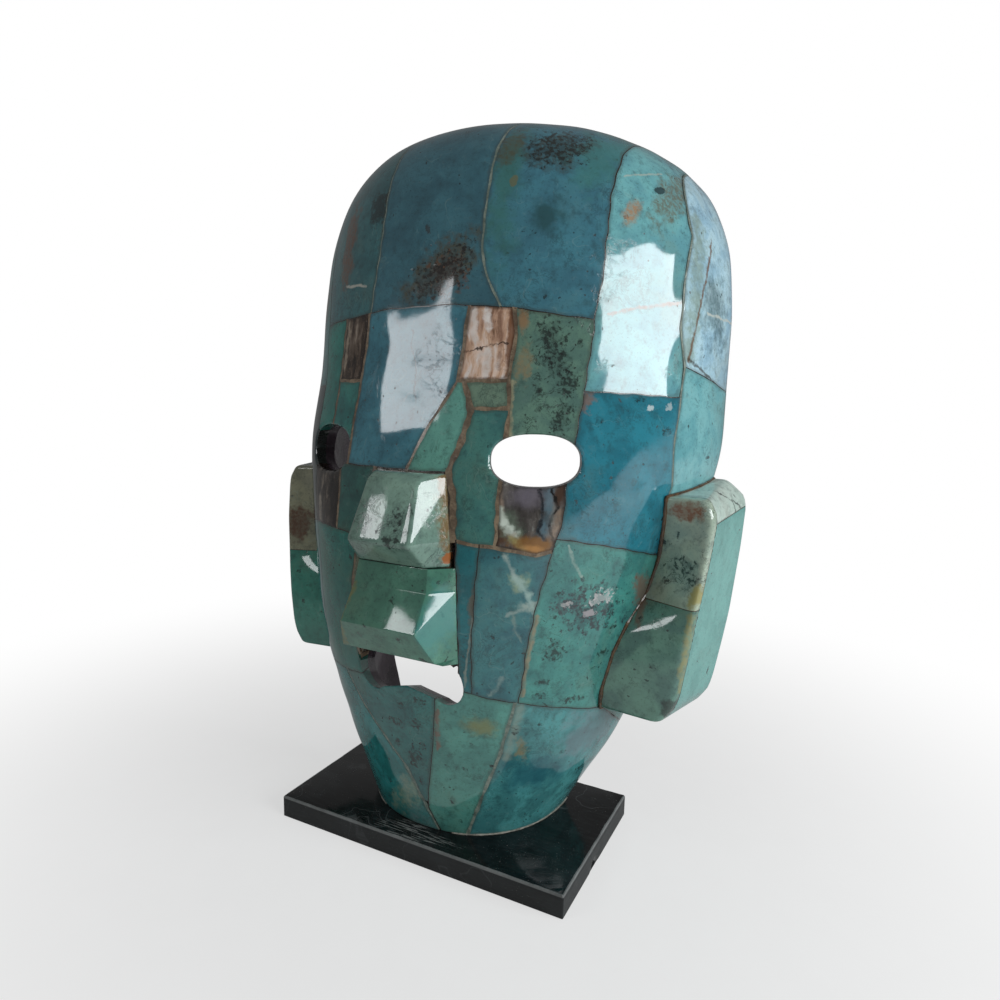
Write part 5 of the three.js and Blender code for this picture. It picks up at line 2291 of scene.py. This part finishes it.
def inlay_finishes() -> dict[str, AbaloneFinish]:
    """Finishes of the four shell inlays by node.

    Returns:
        The finishes.
    """
    return {
        "inlay_brow_middle": AbaloneFinish("abalone_copper", "abalone", (
            (0.0, "7d5c45"), (0.25, "c29a80"), (0.5, "deb89c"), (0.75, "f2d8c6"), (1.0, "fff4ec")),
            2.8, offset=11, marks=(
                Spot(34.8, 213, 1.5, 13, "7a4c2c", 0, 0.5, 0.85, 4.0, soft=0.4),
                Streak((20.4, 225), (21.4, 214), 2.2, "f6ece4", 0.5, 0.85, 5.0),
                Streak((25.2, 225), (26.4, 218), 2.6, "fbf4ee", 0.5, 0.95, 5.0),
                Streak((26.9, 211), (26.6, 200.5), 2.2, "f6ece4", 0.6, 0.9, 5.0),
                Streak((30.5, 224), (31.5, 203), 1.6, "8a6450", 0.8, 0.6, 5.0),
                Streak((17, 209.6), (34, 212.6), 0.55, "2f2019", 1.3, 0.9, 4.0))),
        "inlay_brow_left": AbaloneFinish("abalone_brown", "abalone", (
            (0.0, "1d1611"), (0.35, "3d3128"), (0.6, "594a3e"), (0.85, "75665a"), (1.0, "a8998a")),
            3.0, offset=12, marks=(
                Streak((-41.8, 222), (-43.6, 203), 2.0, "b7a894", 0.6, 0.75, 5.0),)),
        "inlay_cheek_left": AbaloneFinish("abalone_dark", "abalone", (
            (0.0, "14110f"), (0.4, "2f2823"), (0.7, "484039"), (1.0, "8a7f72")),
            3.4, offset=13, marks=(
                Spot(-38, 150, 5, 12, "171210", 0, 0.6, 0.7, 5.0, soft=0.5),
                Streak((-52.6, 149), (-50.8, 138), 2.6, "a3988a", 0.7, 0.85, 4.0))),
        "inlay_cheek_right": AbaloneFinish("abalone_grey", "abalone", (
            (0.0, "2a2624"), (0.25, "423e3b"), (0.55, "5b5753"), (0.85, "6f6a66"), (1.0, "8b8d86")),
            4.5, (1.0, 1.0, 0.3), 0.25, 3.0, 0.35, 14, (
                Spot(46.5, 157.5, 5, 4, "7d7783", 0, 0.5, 0.8, 6.0, soft=0.7),
                Spot(45, 149.5, 4, 5, "332e2c", 0, 0.6, 0.7, 5.0, soft=0.8),
                Spot(37.8, 144, 3, 5, "5c3f2c", 0, 0.6, 0.9, 4.0, soft=0.5),
                Spot(37.4, 152.5, 1.4, 6, "a8927f", 0, 0.4, 0.8, 3.0, soft=0.6),
                Streak((38.4, 151), (43.6, 143.2), 5.6, "7d8f7c", 0.5, 0.8, 5.0, soft=0.5),
                Streak((37.6, 153), (39.4, 148), 2.6, "dfe9da", 0.4, 0.9, 5.0, soft=0.4, broken=0.3),
                Streak((39.4, 148), (43.2, 143.4), 2.8, "e6f2e4", 0.5, 0.95, 5.0, soft=0.4, broken=0.3),
                Streak((42.0, 142.8), (48, 137.4), 1.8, "b5b277", 0.5, 0.9, 5.0, soft=0.5),
                Spot(49, 140.2, 6.2, 3.2, "8a5f2c", -8, 0.5, 0.9, 4.0, soft=0.6),
                Spot(50.4, 138.2, 3.6, 1.4, "c08a4a", -8, 0.5, 0.7, 3.0, soft=0.6),
                Streak((53.4, 160), (53.6, 153), 3.0, "6d8490", 0.5, 0.85, 5.0, soft=0.5),
                Streak((53.6, 153), (52.6, 143.5), 2.8, "5a7884", 0.5, 0.9, 5.0, soft=0.5),
                Streak((57.2, 152), (55.6, 143), 2.2, "9c8774", 0.5, 0.85, 4.0, soft=0.5),
                Spot(56.6, 158.4, 1.6, 3.4, "4d3323", 0, 0.4, 0.85, 4.0, soft=0.5),
                Streak((50, 161), (51.8, 153), 0.9, "1b2128", 0.7, 0.9, 4.0),
                Streak((51.8, 153), (51.0, 145), 1.0, "1b2128", 0.9, 0.9, 4.0),
                Streak((51.0, 145), (53.2, 141.4), 0.9, "1b2128", 0.7, 0.9, 4.0),
                Streak((54, 161), (56.2, 153.5), 0.9, "15120f", 0.7, 0.95, 4.0),
                Streak((56.2, 153.5), (54.2, 147), 1.0, "15120f", 0.9, 0.95, 4.0),
                Streak((54.2, 147), (56, 139.5), 0.9, "15120f", 0.7, 0.95, 4.0))),
    }


def speckle(*places: tuple[float, float, float, float], colour: str = "0f1615") -> tuple[Spot, ...]:
    """Clusters of ragged dark mineral, each by its place, half width and half height."""
    return tuple(Spot(x, z, wide * 0.85, high * 0.85, colour, 0, 0.7 + 0.1 * wide, 0.82, 1.4 + 0.1 * wide,
                      soft=0.25, specked=0.75) for x, z, wide, high in places)


def stone_finishes() -> dict[str, StoneFinish]:
    """Finishes of all stones by node, each with the offset that sets its pattern apart.

    Returns:
        The finishes.
    """
    teal, green, blue, pale, deep = "teal_stone", "green_stone", "blue_stone", "pale_stone", Across.DEPTH
    rows = (
        ("temple_left", 1, teal, dict(body="2f6e6f", cloud="418988", specks=0.7, marks=(
            Spot(-74, 240, 5, 22, "4c3b2c", 8, 0.8, 0.7, soft=0.4),))),
        ("crown_left", 2, blue, dict(body="316065", cloud="3f797e", specks=0.3, marks=(
            Spot(-47, 254, 4.5, 17, "6a4b3a", -4, 0.6, 0.85, soft=0.35, specked=0.3),
            Spot(-29, 267, 5.5, 6, "152022", 0, 0.7, 0.8, 4.0, soft=0.3),
            Streak((-47, 237.7), (-32, 236.3), 0.9, "b3b4aa", 0.8)))),
        ("crown_middle_left", 3, blue, dict(
            body="35626f", cloud="427784", mottle=0.3, specks=0.2, branches=0.15, stained=0.2, marks=(
            Spot(4, 240, 17, 8, "4b4634", 35, 0.6, 0.85, 5.0, soft=0.35, specked=0.3),
            Spot(9, 239, 7, 8, "64402c", 30, 1.0, 0.7, 3.0, specked=0.7),
            Spot(5, 238, 12, 6, "15191a", 35, 1.4, 0.9, 1.9, specked=0.6)))),
        ("crown_middle_right", 4, blue, dict(
            body="3a6e7e", cloud="468695", specks=0.5, stained=0.2, lean=(0.1, 0.0), marks=(
            Spot(27, 268, 5, 24, "3a7466", 0, 1.0, 0.6, 9.0, soft=0.7),
            Spot(56, 284, 8, 14, "3f7d74", 0, 1.0, 0.55, 9.0, soft=0.7),
            Spot(43.5, 258, 4.8, 6.4, "1c4648", 0, 0.7, 0.75, 5.0, soft=0.6),
            Spot(42, 285, 10, 7.5, "3a3c33", 0, 0.6, 0.85, 6.0, soft=0.35, specked=0.5),
            Spot(42, 286, 8.5, 6.5, "17201f", 0, 1.1, 0.9, 2.4, specked=0.5),
            Spot(26, 286, 4, 8, "4e4a35", 0, 0.6, 0.8, 4.0, soft=0.35, specked=0.3),
            Spot(30.5, 272, 1.6, 2, "6f6a44", 0, 0.4, 0.7, 3.0)))),
        ("temple_right", 5, teal, dict(body="609ca5", cloud="79bcbe", specks=0.35, marks=(
            Spot(80, 273, 5, 14, "665d45", -10, 0.7, 0.75, 5.0, soft=0.4, specked=0.5),
            Spot(69.3, 262, 2.1, 4.6, "b07a45", -12, 0.5, 0.75, 3.0, soft=0.5, specked=0.4),
            Spot(75.5, 272.6, 1.4, 1.6, "1d3135", 0, 0.4, 0.9, 2.0),
            Streak((65, 276), (74, 280.5), 0.8, "a9b8ae", 0.6, 0.8),
            Streak((66, 224), (87, 230.5), 1.4, "8f6f5e", 0.8, 0.8)))),
        ("side_upper_left", 21, blue, dict(body="2e5263", cloud="426d7d")),
        # Painted sheen: the pale body and cloud colours of this stone carry the broad sheen of the light from
        # the right over the stone's own blue.
        ("side_upper_right", 22, blue, dict(
            body="97bfd3", cloud="c2e5ef", hairs=0.5, specks=0.3, branches=0.2, marks=(
                Streak((37, 264), (23, 210), 9.0, "7f917c", 1.2, 0.6, 6.0, deep),
                Spot(46, 228, 10, 14, "375a60", 15, 0.8, 0.65, 6.0, deep, 0.45, 0.3),
                Streak((46, 258), (33, 234.5), 1.3, "6f4f38", 0.8, 0.85, 5.0, deep),
                Streak((33, 234.5), (24, 208), 1.3, "6f4f38", 0.8, 0.85, 5.0, deep),
                Streak((37, 227.6), (69, 226.3), 0.9, "c3cac2", 0.8, 0.9, 9.0, deep),
                Streak((24, 209), (50, 198), 1.3, "3a3022", 1.0, 0.8, 4.0, deep)))),
        ("side_middle_left", 23, teal, dict(body="437a7d", cloud="5a9290")),
        ("side_middle_right", 24, pale, dict(body="66a7ae", cloud="82bfc2", specks=0.25, mottle=0.3)),
        ("side_lower_left", 25, teal, dict(body="376160", cloud="487471")),
        ("side_lower_right", 26, teal, dict(body="396867", cloud="4b7c79")),
        ("brow_green_left", 27, green, dict(body="1c6f67", cloud="27897c", specks=0.8)),
        ("brow_under_inlay_left", 28, green, dict(body="266b68", cloud="38897f", specks=0.6)),
        ("brow_middle", 29, blue, dict(
            body="397181", cloud="4c8d9d", specks=0.4, roll_off=(210.0, 0.0042), marks=(
            Streak((-6, 218), (-1, 190), 0.7, "16201f", 2.0, 0.6),))),
        ("brow_under_inlay_middle", 30, green, dict(body="627d6c", cloud="819c84", specks=0.7)),
        ("brow_speckled_right", 31, green, dict(
            body="507268", cloud="678c79", specks=0.8, branches=0.8, marks=(
                Spot(39.8, 205, 2.6, 6.5, "8b7b5a", 0, 0.9, 0.75, 4.0, soft=0.5, specked=0.4),
                Spot(38.6, 221.5, 1.8, 4.2, "97714a", 0, 0.6, 0.75, 3.0, soft=0.5),
                Streak((38.8, 171), (36.6, 199), 1.7, "a9a282", 0.7, 0.85, 5.0),
                *speckle((48.5, 215, 5, 8), (51.5, 206, 4, 5), (55.5, 199, 3, 5), (55, 186, 3.4, 7),
                         (45.5, 196, 1.6, 2), (47, 189, 1.2, 1.4), (58, 213, 1.4, 2))))),
        ("bridge_wedge", 32, teal, dict(body="629f92", cloud="71b5a4", specks=0.25, lean=(0.0, 0.3))),
        ("bridge_right", 33, teal, dict(body="356a68", cloud="488379", specks=0.5)),
        ("bridge_left", 34, teal, dict(body="265551", cloud="356e65", specks=0.5)),
        ("cheek_upper_left", 35, teal, dict(body="16272a", cloud="24373a")),
        ("cheek_upper_right", 36, blue, dict(
            body="1e6f80", cloud="2b889a", specks=0.35, roll_off=(160.0, -0.012), marks=(
            Spot(62, 192.5, 2.0, 3.2, "88695a", 0, 0.9, 0.7, 3.0, soft=0.5),
            Spot(80.6, 190, 0.8, 0.8, "c6d6d6", 0, 1.0, 0.8, 2.0),
            Spot(86, 190.5, 0.9, 1.2, "a9b9bb", 0, 1.2, 0.8, 2.0),
            *speckle((77.2, 193.3, 1.6, 1.2), (66.5, 184.5, 1.3, 1.3), (86, 181, 1.4, 1.8))))),
        ("cheek_outer_left", 37, teal, dict(body="2a6a6e", cloud="3a8384")),
        ("cheek_inner_left", 38, teal, dict(body="1d665e", cloud="298075", specks=0.6)),
        ("cheek_strip_right", 39, blue, dict(body="176067", cloud="207981", stained=0.15, marks=(
            Spot(30.6, 116, 1.8, 6, "5f584b", 0, 0.6, 0.85, 3.0, soft=0.35),
            Streak((30.2, 112), (27.2, 84), 0.8, "8f968b", 0.7, 0.7)))),
        ("cheek_inner_right", 40, blue, dict(body="2e646d", cloud="408183", specks=0.4, marks=(
            Spot(45.6, 125.5, 3.0, 3.4, "8fa284", 0, 0.6, 0.8, 3.0, soft=0.5, specked=0.4),
            Spot(49, 116.5, 3.2, 2.0, "a5b5aa", 0, 0.7, 0.7, 3.0, soft=0.6, specked=0.4),
            Streak((40.6, 136), (44.4, 127.7), 1.6, "a3b3ab", 1.2, 0.8, 6.0, soft=0.5),
            Streak((44.4, 127.7), (48.8, 121), 2.2, "9dbab2", 1.2, 0.85, 5.0, soft=0.5),
            Streak((47.5, 123), (50.5, 114), 1.4, "98b6b0", 1.2, 0.8, 5.0, soft=0.5),
            Streak((42, 113), (51.6, 118.4), 1.1, "93a69f", 1.0, 0.7, 5.0, soft=0.5),
            Streak((43.5, 113), (46.4, 103), 1.0, "7e948c", 1.0, 0.6, 5.0, soft=0.5),
            Streak((35.3, 80.8), (40.5, 88.4), 1.4, "8aa09a", 1.2, 0.6, 5.0, soft=0.5)))),
        ("cheek_outer_right", 41, teal, dict(body="3b7b77", cloud="4e9a90", specks=0.4, marks=(
            Spot(66, 113.5, 6.0, 8.6, "2b2831", 0, 1.3, 0.85, 3.0, specked=0.6),
            Spot(69.2, 117.6, 3.0, 2.4, "c9c6c6", 20, 1.3, 0.85, 2.0, specked=0.5),
            Spot(66.2, 112, 1.8, 1.4, "a9a3a6", 0, 0.7, 0.8, 2.0),
            Spot(59.6, 116.2, 3.6, 2.6, "38343c", 20, 1.2, 0.85, 2.4, specked=0.5),
            Spot(59.4, 116.4, 1.8, 1.0, "b9b5b4", 20, 1.0, 0.8, 1.8, specked=0.4),
            Streak((60.3, 139.5), (63.4, 127), 0.8, "9fb3a8", 0.8, 0.7),
            Streak((45.8, 80), (51.4, 113), 1.2, "958a6f", 0.6, 0.8),
            Spot(79.6, 117, 1.8, 8, "7b6455", 0, 0.6, 0.8, 3.0, soft=0.4),
            *speckle((56.3, 112, 1.5, 1.3), (56, 98, 3.2, 4.2), (69, 93.6, 1.8, 1.6), (66.5, 87.5, 1.0, 1.0),
                     (52.4, 85.3, 2.2, 1.4), (60, 75.2, 3.6, 1.6), (51, 79.6, 2.4, 1.8),
                     (72, 104, 0.9, 0.9))))),
        ("chin_left", 42, teal, dict(body="257371", cloud="359797", marks=(
            Spot(-5, 27, 5, 15, "8a9a83", -35, 0.9, 0.75, 4.0, soft=0.6, specked=0.4),))),
        ("chin_speckled", 43, teal, dict(body="2d6867", cloud="39817c", specks=1.0, marks=speckle(
            (3.6, 63, 4, 3), (0.3, 45, 3, 5), (-6.5, 61, 3.4, 2.6), (7.5, 75, 3, 2), (-2, 70, 2, 2),
            (5, 52, 1.6, 2.2), (-8, 50, 1.8, 2), (2, 34, 1.4, 2.4)))),
        ("chin_middle", 44, teal, dict(body="4b877e", cloud="5fa597", specks=0.3, marks=(
            Spot(30.6, 65.8, 5.4, 3.6, "87874f", 0, 0.5, 0.7, 4.0, soft=0.7),
            Streak((14.8, 72), (11.6, 52), 1.8, "7d6152", 0.7, 0.8, 4.0),
            *speckle((21.9, 44.2, 1.1, 1.1), (32.6, 46.4, 1.1, 1.3), (15.1, 27.2, 1.7, 1.5),
                     (17.3, 16.9, 1.0, 1.0), (26, 57, 0.8, 0.8), (22, 72, 0.9, 0.9))))),
        ("chin_right", 45, pale, dict(body="3d7a7c", cloud="55a3a3", specks=0.5, marks=(
            Spot(45, 42, 9, 8, "1c5563", 8, 0.6, 0.7, 7.0, soft=0.7),
            Spot(43, 54.5, 1.8, 4.8, "8f7f5c", 0, 0.8, 0.75, 3.0, soft=0.6, specked=0.4),
            # Painted sheen: the soft grey patch on the lower right side of the jaw.
            Spot(62, 56, 6, 10, "78868e", -15, 0.8, 0.5, 6.0, soft=0.5),
            Streak((37.6, 50), (45, 76), 2.6, "8c988a", 0.4, 0.65, 7.0, soft=0.6, broken=0.2),
            *speckle((41.8, 63.5, 1.4, 1.8), (50, 66, 1.0, 1.0), (55, 50, 1.2, 1.0), (58, 35, 2.2, 1.6))))),
        ("nose_upper", 51, green, dict(
            body="6f8e81", cloud="8cae9c", specks=0.5, branches=0.6, pillow=(-4.0, 14.0, 0.045), marks=(
            Streak((16.8, 164), (21, 137), 3.0, "7d5d30", 1.0, 0.85, 4.0),
            Spot(20.6, 133.5, 1.8, 2, "a8602a", 0, 0.4, 0.9, 3.0),
            *speckle((7, 148.5, 4.4, 4), (5.5, 141, 3, 3), (11, 153, 1.6, 2))))),
        ("nose_lower", 52, green, dict(
            body="477b68", cloud="5d9a82", specks=0.6, pillow=(18.0, 40.0, 0.015), marks=(
            Spot(20.5, 112, 4, 12, "3c8683", 0, 0.5, 0.7, 6.0, soft=0.4),
            Streak((-15.8, 121), (-20, 97), 2.6, "7f7c48", 0.8, 0.8, 5.0),
            *speckle((3, 118, 1.6, 1.4), (9, 104, 1.4, 1.6), (-6, 108, 1.2, 1.2))))),
        ("ear_face_lower_right", 61, teal, dict(body="5c8379", cloud="77a692", specks=0.4, marks=(
            Spot(79.6, 110, 1.6, 7, "7b6152", 0, 0.6, 0.8, 3.0, soft=0.4),
            Spot(96.5, 73, 4, 4.6, "2a3230", 0, 0.6, 0.8, 4.0, soft=0.35),
            Streak((100.4, 112), (98.8, 80), 2.4, "93905f", 0.8, 0.8, 5.0),
            *speckle((93.3, 102.1, 1.3, 1.0), (87.7, 89.7, 1.4, 1.2), (80.5, 106, 1.0, 1.0),
                     (90, 96, 0.8, 0.8))))),
        ("ear_face_upper_right", 62, green, dict(
            body="96ab9e", cloud="c0d0b9", specks=0.5, branches=0.7, marks=(
            Spot(95.5, 150.6, 6, 3.8, "804a2b", 0, 0.6, 0.9, 4.0, soft=0.35, specked=0.3),
            Spot(101.5, 118.5, 2.4, 5, "a39a55", -10, 0.5, 0.85, 4.0, soft=0.35),
            *speckle((96, 129, 4.4, 3.6), (88.5, 122, 2.0, 1.5), (100, 125, 2.2, 2.2), (86.6, 136.5, 2, 2),
                     (92, 141, 1.0, 1.4))))),
        ("ear_side_right", 63, pale, dict(
            body="64a39c", cloud="76b8b0", specks=0.15, mottle=0.2, branches=0.1, stained=0.15)),
        ("ear_cap_right", 64, teal, dict(body="c1d7cc", cloud="daeadf", specks=0.2, marks=(
            Streak((30, 156.5), (52, 146.5), 0.8, "2c332f", 1.2, 0.85, 5.0, deep),
            Streak((38, 152), (40, 146), 0.7, "2c332f", 0.8, 0.8, 5.0, deep)))),
        ("ear_face_lower_left", 65, teal, dict(body="327b6c", cloud="449683", specks=0.4, marks=speckle(
            (-94.8, 103, 1.4, 1.2), (-89.9, 88.8, 1.4, 1.2)))),
        ("ear_face_upper_left", 66, green, dict(body="7d7e6a", cloud="9b9b7f", marks=(
            Spot(-99, 127, 5.5, 8.5, "5d3c28", 0, 0.6, 0.9, 4.0, soft=0.35, specked=0.3),))),
        ("ear_side_left", 67, pale, dict(body="4c7975", cloud="61928c", specks=0.3)),
        ("ear_cap_left", 68, teal, dict(body="4a6d66", cloud="5f7f76")),
    )
    return {name: StoneFinish("finish_" + name, slot, offset=offset, **looks)
            for name, offset, slot, looks in rows}


def crown_plans(finishes: dict[str, Finish]) -> list[StonePlan]:
    """Stones that reach over the top of the head.

    Args:
        finishes: Finishes by node.

    Returns:
        Their plans, which need no upper joint.
    """
    rows = (
        ("temple_left", "left_crease", "left_brow", "temple"),
        ("crown_left", "left_brow", "left_crown", "forehead"),
        ("crown_middle_left", "left_crown", "crown_middle", "forehead"),
        ("crown_middle_right", "crown_middle", "right_brow", "forehead"),
        ("temple_right", "right_brow", "right_crease", "temple"),
    )
    return [StonePlan(*row, "", finishes[row[0]]) for row in rows]


def stone_plans(finishes: dict[str, Finish]) -> list[StonePlan]:
    """Stones of the face and the sides.

    Args:
        finishes: Finishes by node.

    Returns:
        Their plans. The stones round the openings get a finer grid.
    """
    rows = (
        ("side_upper_left", "left_rim", "left_crease", "wall", "crease_top"),
        ("side_upper_right", "right_crease", "right_rim", "wall", "crease_top"),
        ("side_middle_left", "left_rim", "left_crease", "ear_top", "wall"),
        ("side_middle_right", "right_crease", "right_rim", "ear_top", "wall"),
        ("side_lower_left", "left_rim", "left_crease", "jaw", "ear_top"),
        ("side_lower_right", "right_crease", "right_rim", "jaw", "ear_top"),
        ("brow_green_left", "left_brow", "left_inlay_outer", "eye", "forehead"),
        ("inlay_brow_left", "left_inlay_outer", "left_inlay_inner", "inlay_foot", "forehead"),
        ("brow_under_inlay_left", "left_inlay_outer", "left_inlay_inner", "eye", "inlay_foot"),
        ("brow_middle", "left_inlay_inner", "bridge", "bridge_foot", "forehead"),
        ("inlay_brow_middle", "bridge", "brow_inlay", "inlay_foot", "forehead"),
        ("brow_under_inlay_middle", "nose_right", "brow_inlay", "brow_olive", "inlay_foot"),
        ("brow_speckled_right", "brow_inlay", "right_brow", "eye", "forehead"),
        ("bridge_wedge", "bridge", "nose_right", "bridge_foot", "inlay_foot"),
        ("bridge_right", "nose_right", "right_eye_inner", "cheek_inner", "brow_olive"),
        ("bridge_left", "left_eye_inner", "nose_left", "cheek_left", "bridge_foot"),
        ("cheek_upper_left", "left_crease", "left_brow", "cheek_left", "temple"),
        ("inlay_cheek_left", "left_brow", "left_eye_inner", "cheek_left", "eye"),
        ("inlay_cheek_right", "right_eye_inner", "right_brow", "cheek_inner", "eye"),
        ("cheek_upper_right", "right_brow", "right_crease", "cheek_right", "temple"),
        ("cheek_outer_left", "left_crease", "left_brow", "jaw", "cheek_left"),
        ("cheek_inner_left", "left_brow", "nose_left", "jaw", "cheek_left"),
        ("cheek_strip_right", "strip_left", "strip_right", "jaw", "cheek_inner"),
        ("cheek_inner_right", "strip_right", "right_brow", "jaw", "cheek_inner"),
        ("cheek_outer_right", "right_brow", "right_crease", "jaw", "cheek_right"),
        ("chin_left", "left_rim", "pale_vein", "chin", "jaw"),
        ("chin_speckled", "pale_vein", "chin_speckle", "chin_fork", "jaw"),
        ("chin_middle", "chin_speckle", "chin_middle", "chin", "jaw"),
        ("chin_right", "chin_middle", "right_rim", "chin", "jaw"),
    )
    pierced = {"cheek_inner_left", "cheek_strip_right", "cheek_inner_right", "chin_left", "chin_speckled",
               "chin_middle", "inlay_cheek_left", "inlay_cheek_right", "brow_green_left",
               "brow_under_inlay_left", "brow_speckled_right", "cheek_upper_left", "cheek_upper_right",
               "bridge_left", "bridge_right"}
    return [StonePlan(*row, finishes[row[0]], row[0] in pierced) for row in rows]


def lay_joints(mosaic: Mosaic) -> None:
    """Fill the mosaic's joints with resin, one piece for each kind of filling.

    Args:
        mosaic: The mosaic, after its stones are laid.
    """
    finishes = {
        Grout.HAIRLINE: ResinFinish("joint_dark", "resin_backing", "241d18", "3a3128", "100d0b", 3.0),
        Grout.AMBER: ResinFinish("joint_amber", "resin_backing", "6a5948", "94826a", "33291f", 4.0),
        Grout.PALE: ResinFinish("joint_pale", "resin_backing", "65736a", "909b8f", "36423b", 3.0),
    }
    tree = grout_tree()
    laid: dict[Grout, list[Thing]] = {}
    for name, grout, turn, z, half in mosaic.lines():
        p = mosaic.skin(turn, z, mosaic.grout_sink)
        inward = -mosaic.form.outward(mosaic.form.point(turn, z))
        along = np.gradient(p, axis=0)
        across = np.cross(along, inward)
        across /= np.maximum(np.linalg.norm(across, axis=-1, keepdims=True), 1e-9)
        clear = np.min([opening.distance(p) for opening in mosaic.openings], axis=0) > -mosaic.clearance
        for run in np.split(np.arange(len(p)), np.nonzero(np.diff(clear.astype(int)))[0] + 1):
            if len(run) < 3 or not clear[run[0]]:
                continue
            fields = {"inward": inward[run], "across": across[run], "half": half[run] + mosaic.grout_overlap}
            values = {"Material": finishes[grout].material()}
            strip = tree.lay("joint_" + name, PathTree.path(p[run], fields), values)
            mosaic.pierce(strip)
            mosaic.trim(strip)
            laid.setdefault(grout, []).append(strip)
    for grout, strips in laid.items():
        made = Workshop.joined("joints_" + grout.name.lower(), strips)
        Workshop.declare(made, finishes[grout])


def main() -> None:
    """Build the mask, its slab and the studio."""
    logging.basicConfig(level=logging.INFO, format="%(message)s")
    form = FaceForm()
    openings = (eye_opening("left_eye", -1), eye_opening("right_eye", 1), mouth_opening())
    mosaic = Mosaic(form, openings, mask_seams(), mask_levels(form))
    finishes: dict[str, Finish] = {**stone_finishes(), **inlay_finishes()}
    for plan in crown_plans(finishes):
        mosaic.stone(plan, mosaic.crown_patch(plan))
    for plan in stone_plans(finishes):
        mosaic.stone(plan, mosaic.patch(plan))
    lay_joints(mosaic)
    resin = ResinFinish("backing_resin", "resin_backing", "453a42", "574953", "241e22", 14.0, gloss=0.18)
    mosaic.backing(resin)
    bed = ResinFinish("nose_bed_resin", "resin_backing", "3d3024", "5e4d38", "1d1712", 3.0)
    mosaic.nose_bed(bed)
    Nose({node: finishes[node] for node in ("nose_upper", "nose_lower")}).build()
    beads = bead_tree()
    rust = ResinFinish("joint_rust", "resin_backing", "45331f", "65492e", "1c150e", 3.0)
    for side, label in ((1, "right"), (-1, "left")):
        Ear(side, label, finishes, rust, form, beads).build()
    Plinth(MarbleFinish("polished_marble", "black_marble")).build()
    glue = ResinFinish("chin_glue", "resin_backing", "77756c", "a8a79c", "3f3d38", 3.0, gloss=0.2)
    Glue(form, beads, glue).build()
    Studio((
        Lamp("window_right", (1.20, -0.107, 0.582), (1.075, 0.445), 12.0, (0.95, 0.98, 1.0),
             (0.07, 0.0, 0.225)),
        Lamp("window_left", (-0.2355, -0.3345, 0.316), (0.215, 0.066), 0.22, (0.97, 0.98, 1.0),
             (0.0, -0.03, 0.188), 13.0),
    )).build()


if __name__ == "__main__":
    main()
